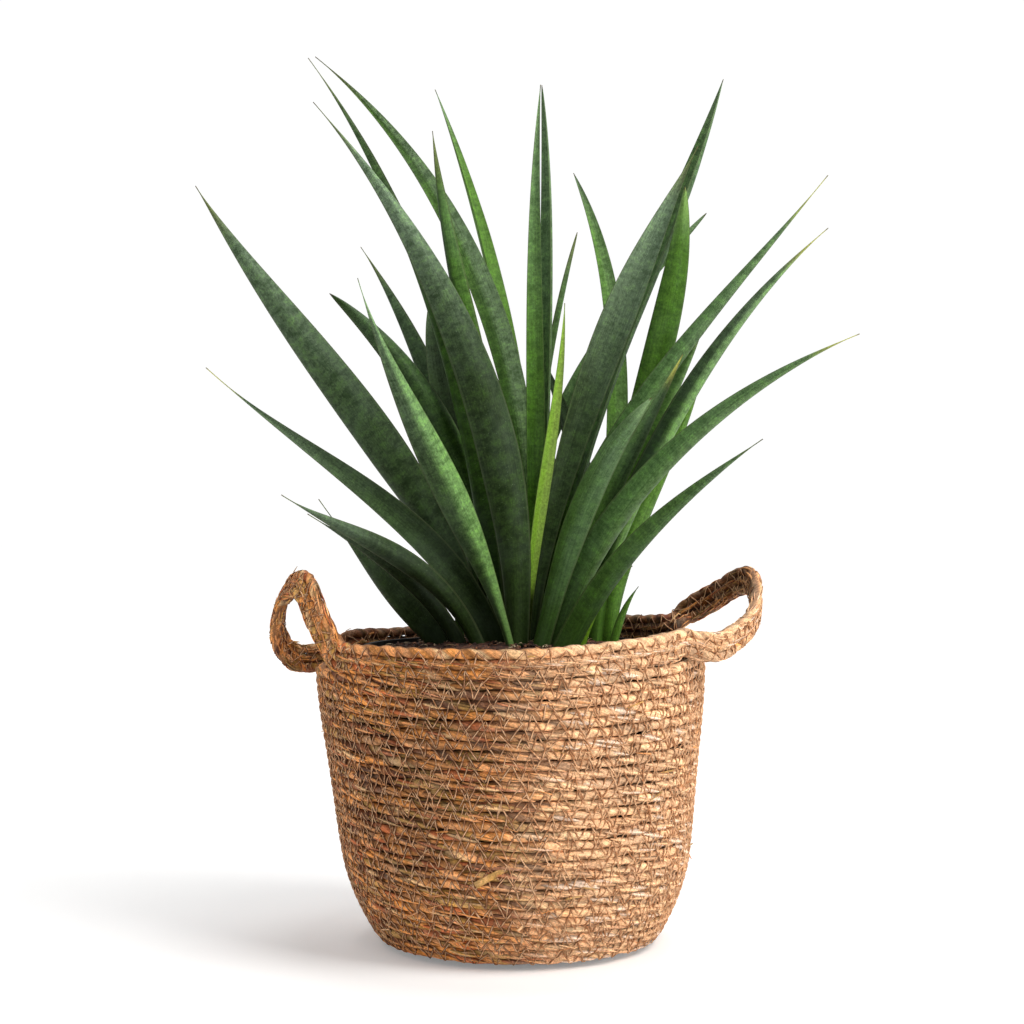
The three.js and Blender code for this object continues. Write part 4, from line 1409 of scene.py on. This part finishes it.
def lens_blades(count, seed, place, size):
    """Flat blades that show on the rows, pointed at both ends, as one part of a bundle.

    A blade lies along its row and falls a little to the right. Its width is the root of a half sine, and its
    four-cornered section rises to a ridge. place turns the blade's number, the distance along, the rise and
    the height, all in millimetres, into points. size makes all blades longer and wider.
    """
    k = np.arange(count)
    long = size * spread(*BLADE_LONG, scatter(k, seed, 3))
    wide = size * spread(*BLADE_WIDE, scatter(k, seed, 4) ** 1.5)
    slope = spread(*BLADE_FALL, scatter(k, seed, 5))
    off = BLADE_STRAY * (scatter(k, seed, 6) - 0.5)
    lift = spread(*BLADE_LIFT, scatter(k, seed, 7))
    u = np.array([0.02, 0.16, 0.36, 0.6, 0.82, 0.98])
    v = np.array([-0.5, 0.0, 0.5, 0.0])
    ridge = np.array([0.0, 0.6, 0.0, -0.35])
    half = (np.sin(np.pi * u) ** 0.65)[None, :, None]
    bend = np.sin(np.pi * u)[None, :, None]

    def grid(value):
        return np.asarray(value)[:, None, None]

    side = grid(wide) * half * v
    far = grid(long) * u[None, :, None] + 0 * v
    rise = grid(slope * long) * (u - 0.5)[None, :, None] + grid(off) + side
    high = grid(lift) + BLADE_BEND * (bend - 0.6) + ridge * np.minimum(grid(wide) * half, 1.0)
    points = place(grid(k), far, rise, high - BLADE_BOW * (rise**2)).reshape(-1, 3)
    n = len(u) * len(v)
    quads = (strip_faces(len(u))[None] + (k * n)[:, None, None]).reshape(-1, 4)
    tones = drawn(BLADE_SHARES, scatter(k, seed, 8))
    tones = np.repeat(tones * spread(*BLADE_LIGHT, scatter(k, seed, 9))[:, None], n, axis=0)
    # Painted highlight: a quarter of the blades near the pale, lit patch go nearly white
    highlit = 0.7 * ease(0.6, 0.9, pale_and_lit_way(points)) * np.repeat(scatter(k, seed, 12) > 0.75, n)
    tones = mix(weathered_and_lit(points, tones), np.array(BLADE_HIGHLIGHT), highlit)
    # Painted shade along the two edges of each flat blade, softer in the pale, lit patch
    crease = np.tile(np.where(v == 0, 0.0, 0.8), len(u) * count) * (1 - 0.5 * pale_and_lit(points))
    grain = np.stack([far.ravel(), side.ravel() + 9, np.repeat(k * 2.7, n)], -1)
    return points, quads, (), tones, {"crease": crease, "grain": grain}


def on_wall(basket, seed):
    """Places blades on the wall: a random row and compass angle for each."""
    curve, outward = wall_profile(basket.wall_rows * ROW_STEPS + 1)

    def place(k, far, rise, high):
        i = np.floor(scatter(k, seed, 1) * basket.wall_rows).astype(int) * ROW_STEPS + ROW_STEPS // 2
        r0, z0, nr, nz = curve[i, 0], curve[i, 1], outward[i, 0], outward[i, 1]
        a = TAU * scatter(k, seed, 2) + far / r0
        return basket_place(r0 + nr * high - nz * rise, a, z0 + nz * high + nr * rise)

    return place


def on_straps(basket, seed):
    """Places blades on the rim band and the handles: a random row, face and distance round the loop.

    On the outer two rows they also lie over the band's edges, up to EDGE_TURN radians round their cord.
    Between the handles the top row stays bare.
    """
    path, out, up, _ = rim_loop()
    closed = [np.vstack([v, v[:1]]) for v in (path, out, up)]
    length = lengths(closed[0])

    def place(k, far, rise, high):
        s = (scatter(k, seed, 2) * length[-1] + far) % length[-1]
        middle, face, upward = (follow(s, length, v) for v in closed)
        side = np.where(scatter(k, seed, 10) > INNER_SHARE, 1.0, -1.0)
        row = np.floor(scatter(k, seed, 1) * STRAP_ROWS) - 1
        row = np.where(np.abs(middle[:, :1, :1, 0]) > HANDLE_FROM, row, np.minimum(row, 0))
        turn = row * EDGE_TURN * scatter(k, seed, 13)
        reach = basket.cord_radius + BLADE_ABOVE + high
        outward = side * (reach * np.cos(turn) - rise * EDGE_SQUEEZE * np.sin(turn))
        height = row * STRAP_PITCH + reach * np.sin(turn) + rise * EDGE_SQUEEZE * np.cos(turn)
        return middle + face * outward[..., None] + upward * height[..., None]

    return place


def frayed_blades(basket):
    """Random short strips over the wall, rim and handles, and the two long loose blades low on the front.

    Each starts on a cord's crown, runs along the row and lifts away as the square of its length. Gives the
    middle line, the outward direction, the width, the thickness and the tone of each.
    """
    rng = np.random.default_rng(12)
    curve, outward = wall_profile(400)
    path, out, up, ends = rim_loop()
    palette = [MILK, TAN, GOLD, HAY]
    u = np.linspace(0, 1, 6)
    for k in range(FRAYS):
        tone = np.array(palette[int(scatter(k, 3) * 4)]) * spread(*FRAY_LIGHT, scatter(k, 4))
        long = spread(*FRAY_LONG, scatter(k, 5))
        wide = spread(*FRAY_WIDE, scatter(k, 6) ** 2)
        lift = spread(*FRAY_LIFT, scatter(k, 7) ** 2) * u**2
        slope = (scatter(k, 8) - 0.5) * FRAY_SLOPE
        way = 1 if scatter(k, 9) > 0.5 else -1
        if k < WALL_FRAYS:
            i = rng.integers(10, 390)
            start = rng.uniform(0, TAU)
            r, z = curve[i]
            a = start + way * u * long / r
            line = basket_place(r + outward[i, 0] * (WALL_FRAY_ABOVE + lift), a, z + slope * long * u)
            face = spoke(*outward[i], a)
        else:
            long *= STRAP_FRAY_LONG
            i = rng.integers(0, len(path)) if k % 3 == 0 else rng.integers(ends[3], ends[4])
            side = 1 if scatter(k, 10) > 0.35 else -1
            rise = rng.uniform(*FRAY_RISE)
            base = path[i] + (path[(i + way * 3) % len(path)] - path[i]) * (u[:, None] * long / 6.6)
            face = np.repeat(out[i][None] * side, len(u), axis=0)
            line = base + face * (basket.cord_radius + STRAP_FRAY_ABOVE + lift)[:, None]
            line = line + up[i] * (rise + slope * long * u)[:, None]
        yield line, face, wide, FRAY_THICK, tone
    u = np.linspace(0, 1, 12)
    for start, z, long, wide, slope, tone in LONG_BLADES:
        i = np.argmin(np.abs(curve[:, 1] - z))
        r = curve[i, 0] + 0.35 + 0.5 * np.sin(np.pi * u)
        a = start + u * long / r
        line = basket_place(r, a, z + slope * long * u)
        yield line, spoke(*outward[i], a), wide, LONG_BLADE_THICK, np.array(tone)


class PLANT_OT_nursery_pot(bpy.types.Operator):
    """Dusty black plastic for the part's own pot"""

    bl_idname = "plant.nursery_pot"
    bl_label = "Nursery pot"

    def execute(self, context):
        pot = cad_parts["nursery_pot"]
        for slot in pot.material_slots:
            slot.material = pot_finish()
        return {"FINISHED"}


def soil_height(r):
    """A low dome: the middle height less the square of the distance."""
    return SOIL_MIDDLE - (SOIL_MIDDLE - SOIL_EDGE) * (r / POT_RIM_RADIUS) ** 2


class PLANT_OT_soil(bpy.types.Operator):
    """Crumbly top of the potting soil, with loose lumps, bark chips and root hairs"""

    bl_idname = "plant.soil"
    bl_label = "Soil"

    def execute(self, context):
        settings = context.scene.plant_soil
        parts = [soil_body(settings), *soil_crumbs(settings), *soil_hairs()]
        settle(bundle("soil_surface", soil_finish(), parts), "soil", "soil")
        return {"FINISHED"}


def soil_body(settings):
    """The dome, raised and lowered by three sizes of noise, closed by a plain cup below it."""
    rings, around = 70, 220
    edge = POT_RIM_RADIUS - POT_WALL - SEAT
    r = np.r_[np.linspace(0.4, edge, rings), [edge, SOIL_CUP_RADIUS, 0.4]]
    a = np.arange(around) / around * TAU
    x, y = r[:, None] * np.cos(a), r[:, None] * np.sin(a)
    place = np.stack([x, y, 0 * x], -1)
    lumps = sum(noise(place / size, seed) * weight for size, seed, weight in LUMPS)
    z = soil_height(r)[:, None] + settings.relief * lumps * ease(edge, edge - 4, r)[:, None]
    z[rings] = SOIL_CUP
    z[rings + 1:] = SOIL_FOOT
    tone = mix(SOIL_LOW, SOIL_HIGH, ease(-0.2, 0.9, lumps))
    return np.stack([x, y, z], -1), tube_faces(len(r), around, False), tube_ends(len(r), around), tone, {}


def soil_crumbs(settings):
    """Small rough lumps: a six-by-four ball roughened at random, every fifth drawn out into a chip."""
    rng = np.random.default_rng(4)
    lat = np.linspace(0.25, np.pi - 0.25, 4)[:, None]
    lon = np.arange(6) / 6 * TAU
    ball = spoke(np.sin(lat), np.cos(lat), lon).reshape(-1, 3)
    poles = [[0, 1, 2, 3], [0, 3, 4, 5], [21, 20, 19, 18], [23, 22, 21, 18]]
    faces = np.vstack([tube_faces(4, 6, False), poles])
    for k in range(settings.crumbs):
        r = (POT_RIM_RADIUS - 4) * np.sqrt(rng.uniform())
        a = rng.uniform(0, TAU)
        size = rng.uniform(*CRUMB_SIZE) * np.array([1, rng.uniform(0.5, 1.0), rng.uniform(0.4, 0.8)])
        if k % CHIP_EVERY == 0:
            size = size * CHIP_SHAPE
        turn = rng.uniform(0, TAU)
        body = ball * size * (1 + 0.25 * rng.standard_normal((len(ball), 1)) * CRUMB_ROUGH)
        body = body @ np.array([[np.cos(turn), np.sin(turn), 0], [-np.sin(turn), np.cos(turn), 0], [0, 0, 1]])
        middle = np.array([r * np.cos(a), r * np.sin(a), soil_height(r) + 0.5])
        tone = np.array(mix(CRUMB_DARK, CRUMB_LIGHT, rng.uniform() ** 1.6))
        yield body + middle, faces, (), np.tile(tone, (len(ball), 1)), {}


def soil_hairs():
    """Pale root hairs and straw bits: short bent three-sided threads lying on the soil."""
    rng = np.random.default_rng(9)
    u = np.linspace(-1, 1, 7)[:, None]
    up = np.tile([0.0, 0.0, 1.0], (len(u), 1))
    for _ in range(HAIRS):
        r = (POT_RIM_RADIUS - 8) * np.sqrt(rng.uniform())
        a, turn = rng.uniform(0, TAU, 2)
        long = rng.uniform(*HAIR_LONG)
        way = np.array([np.cos(turn), np.sin(turn), 0])
        line = np.array([r * np.cos(a), r * np.sin(a), soil_height(r) + HAIR_HIGH]) + way * u * long / 2
        aside = np.array([-way[1], way[0], 0])
        line = line + aside * (u**2 - 0.5) * rng.uniform(-1.5, 1.5) + [0, 0, 0.6] * (1 - u**2)
        body = threaded(line, unit(np.gradient(line, axis=0)), up, HAIR_THICK, 0.3, 0.7)
        tone = np.array(mix(HAIR_DARK, HAIR_LIGHT, rng.uniform()))
        yield body, tube_faces(len(u), 3, False), tube_ends(len(u), 3), np.tile(tone, (len(u) * 3, 1)), {}


def leaf_line(line, t):
    """Middle line: the cubic through the root, the two passing points and the tip, and its direction.

    Each point's share at t is the product, over the other three, of how far t is from the other's place
    against how far its own place is.
    """
    x, y = line[0]
    points = np.array([(x, y, soil_height(np.hypot(x, y))), *line[1:]], float)
    places = (0, 1 / 3, 2 / 3, 1)

    def at(s):
        shares = []
        for here in places:
            others = [place for place in places if place != here]
            shares.append(np.prod([(s - other) / (here - other) for other in others], axis=0))
        return np.stack(shares, -1) @ points

    return at(t), unit(at(t + 1e-4) - at(t - 1e-4))


def leaf_width(width, t):
    """It grows softly from the foot to the widest place, then tapers to nothing at the tip."""
    foot, full, widest, taper = width
    past = np.clip((t - widest) / (1 - widest), 0, 1)
    return np.where(t < widest, foot + (full - foot) * ease(0, widest, t), full * (1 - past**2) ** taper)


def leaf_piece(name, row, seed, settings, material):
    """One leaf: a crescent section carried along the middle line, which starts a little below the soil.

    Across runs from 1 to -1 over the hollow face and back over the keeled one. The hollow is deepest in the
    middle and falls to nothing at the margins, and the body's thickness does the same down to the margin's.
    """
    line, width, (first, last), tones, (foot, reflection, mottle, lines) = row
    t = 1 - (1 - np.linspace(0, 1, settings.stations)) ** 1.25
    t[-1] = LAST_STATION
    middle, along = leaf_line(line, t)
    w = np.maximum(leaf_width(width, t), LEAST_WIDTH)
    face = squared(spoke(1, 0, np.radians(first + (last - first) * t)), along)
    side = np.cross(face, along)
    hollow = w * (HOLLOW_ROOT - HOLLOW_EASE * np.sin(np.pi * np.minimum(t * HOLLOW_REACH, 1)))
    thick = np.minimum(LEAF_THICK, THICK_SHARE * w) + SKIN_THICK
    middle = np.vstack([middle[:1] - along[:1] * ROOT_DEPTH * 0.8, middle])
    t = np.r_[0, t]
    w, hollow, thick = (np.r_[v[:1], v][:, None] for v in (w, hollow, thick))
    face, side = (np.vstack([v[:1], v]) for v in (face, side))

    over = np.cos(np.linspace(0, np.pi, settings.sides))
    across = np.concatenate([over, [-1.0], over[::-1], [1.0]])
    edge = np.minimum(LEAF_EDGE, 0.3 * thick)
    bowl = -hollow * (1 - np.abs(over) ** HOLLOW_POWER)
    back = bowl - edge - (thick - edge) * (1 - np.abs(over) ** BACK_POWERS[0]) ** BACK_POWERS[1]
    reach = across * w / 2
    reach[:, settings.sides] -= edge[:, 0] * 0.4
    reach[:, -1] += edge[:, 0] * 0.4
    depth = np.concatenate([bowl, -edge / 2, back[:, ::-1], -edge / 2], axis=1)
    long = np.linalg.norm(np.diff(middle, axis=0), axis=1).sum()
    wave = noise(np.stack([t * long / WAVE_LENGTH, np.full_like(t, seed * 3.1), 0 * t], -1), 21)
    wobble = noise(np.stack([t * long / WOBBLE_LENGTH, np.full_like(t, seed * 5.7), 0 * t + 4], -1), 22)
    wave, wobble = wave[:, None], wobble[:, None]
    bent = wave * across**2 * np.sign(across) + 0.5 * wobble * (1 - across**2)
    depth = depth + settings.waviness * bent * (w / FULL_WAVE_WIDTH)
    points = middle[:, None] + side[:, None] * reach[..., None] + face[:, None] * depth[..., None]

    n, m = points.shape[:2]
    hollow_side = np.concatenate([np.ones(settings.sides), [0.5], np.zeros(settings.sides), [0.5]])
    skin = np.broadcast_arrays(reach + FACES_APART * (1 - hollow_side), (t * long)[:, None], seed * 17.0)
    fade = (ease(*MOTTLE_FOOT, t) * ease(*MOTTLE_TIP, t))[:, None]
    fields = {
        "skin": np.stack(skin, -1).reshape(-1, 3),
        "margin": ease(*MARGIN_FROM, w / 2 - w / 2 * np.abs(across)) * ease(*MARGIN_WIDTHS, w),
        "mottle": mottle * fade * np.ones(m),
        "lines": np.full((n, m), lines),
    }
    tone = leaf_tones(tones, foot, reflection, t[:, None], across * np.sign(side[n // 2, 0]))
    quads, fans = tube_faces(n, m, False), tube_ends(n, m)
    if np.cross(side[0], face[0]) @ along[0] > 0:
        quads, fans = quads[:, ::-1], [fan[::-1] for fan in fans]
    return surface(name, points, quads, material, fans, tone, **fields)


def leaf_tones(tones, foot, reflection, t, across):
    """Colour over a leaf: an S joins its left and its right tone, which differ partly by painted light and
    shade on the two halves, and the right one is darkened as painted shade. Towards the foot they are greener
    and as light as the row says, partly as painted shade low in the clump; towards the top they take a
    silvery painted reflection, and the last tenth takes the tip's tone, with a dry point. Below a pale foot
    it is painted dark, as shade among the older leaves.
    """
    left, right, tip = np.array(tones)
    t = t + 0 * across
    # The halves' tones differ partly by painted light and shade; the right one takes painted shade
    tone = mix(left, right * RIGHT_SHADE, ease(*LEFT_TO_RIGHT, across) + 0 * t)
    tone = tone * SKIN_TINT
    # Foot lighter or darker as the row says: partly painted shade low in the clump, partly its own colour
    tone = mix(tone, tone * foot * FOOT_TINT, ease(*FOOT_PART, t))
    # Painted shade below a pale foot, as among the older leaves
    tone = tone * mix(1, SHEATH_SHADE, ease(*SHEATH_PART, t) * (foot > PALE_FOOT))
    # Painted reflection towards the top
    tone = mix(tone, np.array(PAINTED_REFLECTION), reflection * ease(*REFLECTION_PART, t))
    tone = mix(tone, tip, ease(*TIP_PART, t))
    return mix(tone, np.array(UMBER), DRY_POINT * ease(*POINT_PART, t))


class PLANT_OT_leaves(bpy.types.Operator):
    """All the leaves of the clump"""

    bl_idname = "plant.leaves"
    bl_label = "Leaves"

    def execute(self, context):
        for k, (name, row) in enumerate(LEAVES.items()):
            piece = leaf_piece(f"{name}_blade", row, k + 1, context.scene.plant_leaf, leaf_finish())
            settle(piece, "leaf", name)
        return {"FINISHED"}


class PLANT_OT_stage(bpy.types.Operator):
    """Pale floor, soft light and the camera"""

    bl_idname = "plant.stage"
    bl_label = "Stage"

    def execute(self, context):
        settings = context.scene.plant_stage
        floor_stage(settings)
        lights(settings)
        camera(context, settings)
        return {"FINISHED"}


def floor_stage(settings):
    """A large round floor, flat, its top just below the basket's underside, that glows for the camera alone.

    The glow grows from near_glow to floor_glow with the distance, and is a little stronger under the basket.
    """

    def build(recipe):
        seen = recipe.node("ShaderNodeLightPath").outputs["Is Camera Ray"]
        way = recipe.node("ShaderNodeVectorMath", {0: recipe.place()}, operation="LENGTH").outputs["Value"]
        far = recipe.times(recipe.ramp(way, 0.5, 2.6), settings.floor_glow - settings.near_glow)
        close = recipe.times(recipe.ramp(way, 0.14, 0.1), 0.09)
        glow = recipe.plus(recipe.plus(far, settings.near_glow), close)
        return {
            "Base Color": (*settings.floor_colour, 1),
            "Roughness": 0.9,
            "Specular IOR Level": 0.1,
            "Emission Color": (1, 1, 1, 1),
            "Emission Strength": recipe.times(glow, seen),
        }

    a = np.arange(96) / 96 * TAU
    points = np.stack([FLOOR_RADIUS * np.cos(a), FLOOR_RADIUS * np.sin(a), np.full_like(a, -FLOOR_DROP)], -1)
    floor = surface("floor", points, np.zeros((0, 4)), finish("pale_floor", build), [np.arange(96)])


def soft_light(name, place, aim, size, power, colour):
    """A square area light at a place, turned to its aim."""
    light = bpy.data.lights.new(name, "AREA")
    light.shape = "SQUARE"
    light.size = size
    light.energy = power
    light.color = colour
    lamp = bpy.data.objects.new(name, light)
    lamp.location = place
    back = unit(np.array(place, float) - np.array(aim, float))
    across = unit(np.cross([0.0, 0.0, 1.0], back))
    lamp.rotation_mode = "XYZ"
    lamp.rotation_euler = Matrix(np.stack([across, np.cross(back, across), back], 1).tolist()).to_euler()
    bpy.context.scene.collection.objects.link(lamp)


def lights(settings):
    """One large key from the right and front, a low lamp below it, a weak one above, and a white room."""
    for name, place, aim, size, share, colour in LAMPS:
        soft_light(name, place, aim, size, settings.key_power * share, colour)
    world = bpy.data.worlds.new("white_room")
    world.use_nodes = True
    recipe = Recipe(world.node_tree)
    seen = recipe.node("ShaderNodeLightPath").outputs["Is Camera Ray"]
    strength = recipe.plus(recipe.times(seen, SEEN_WHITE - settings.world_light), settings.world_light)
    recipe.feed(world.node_tree.nodes["Background"], {"Color": (1, 1, 1, 1), "Strength": strength})
    bpy.context.scene.world = world


def camera(context, settings):
    """A level camera on the front side that looks along +Y."""
    lens = bpy.data.cameras.new("camera")
    lens.lens = settings.lens
    lens.sensor_width = SENSOR_WIDTH
    eye = bpy.data.objects.new("camera", lens)
    eye.location = (CAMERA_SIDE, -settings.camera_distance, settings.camera_height)
    eye.rotation_euler = (np.pi / 2, 0, 0)
    context.scene.collection.objects.link(eye)
    context.scene.camera = eye
    context.scene.view_settings.view_transform = "Standard"


class PLANT_PT_panel(bpy.types.Panel):
    """Buttons and sizes of the potted plant"""

    bl_idname = "PLANT_PT_panel"
    bl_label = "Potted sansevieria"
    bl_space_type = "VIEW_3D"
    bl_region_type = "UI"
    bl_category = "Sansevieria"

    def draw(self, context):
        layout = self.layout
        for group in ("plant_basket", "plant_thread", "plant_leaf", "plant_soil", "plant_stage"):
            settings = getattr(context.scene, group)
            box = layout.box()
            for name in settings.__annotations__:
                box.prop(settings, name)
        for maker in MAKERS:
            layout.operator(maker.bl_idname)


MAKERS = (
    PLANT_OT_basket_base,
    PLANT_OT_basket_wall,
    PLANT_OT_rim_and_handles,
    PLANT_OT_stitches,
    PLANT_OT_loose_fibres,
    PLANT_OT_nursery_pot,
    PLANT_OT_soil,
    PLANT_OT_leaves,
    PLANT_OT_stage,
)
GROUPS = {
    "plant_basket": BasketSettings,
    "plant_thread": ThreadSettings,
    "plant_leaf": LeafSettings,
    "plant_soil": SoilSettings,
    "plant_stage": StageSettings,
}


def register():
    for group in GROUPS.values():
        bpy.utils.register_class(group)
    for maker in (*MAKERS, PLANT_PT_panel):
        bpy.utils.register_class(maker)
    for name, group in GROUPS.items():
        setattr(bpy.types.Scene, name, PointerProperty(type=group))


def unregister():
    for name in GROUPS:
        delattr(bpy.types.Scene, name)
    for made in (PLANT_PT_panel, *reversed(MAKERS), *reversed(GROUPS.values())):
        bpy.utils.unregister_class(made)


def main():
    register()
    for maker in MAKERS:
        family, action = maker.bl_idname.split(".")
        getattr(getattr(bpy.ops, family), action)()


if __name__ == "__main__":
    main()
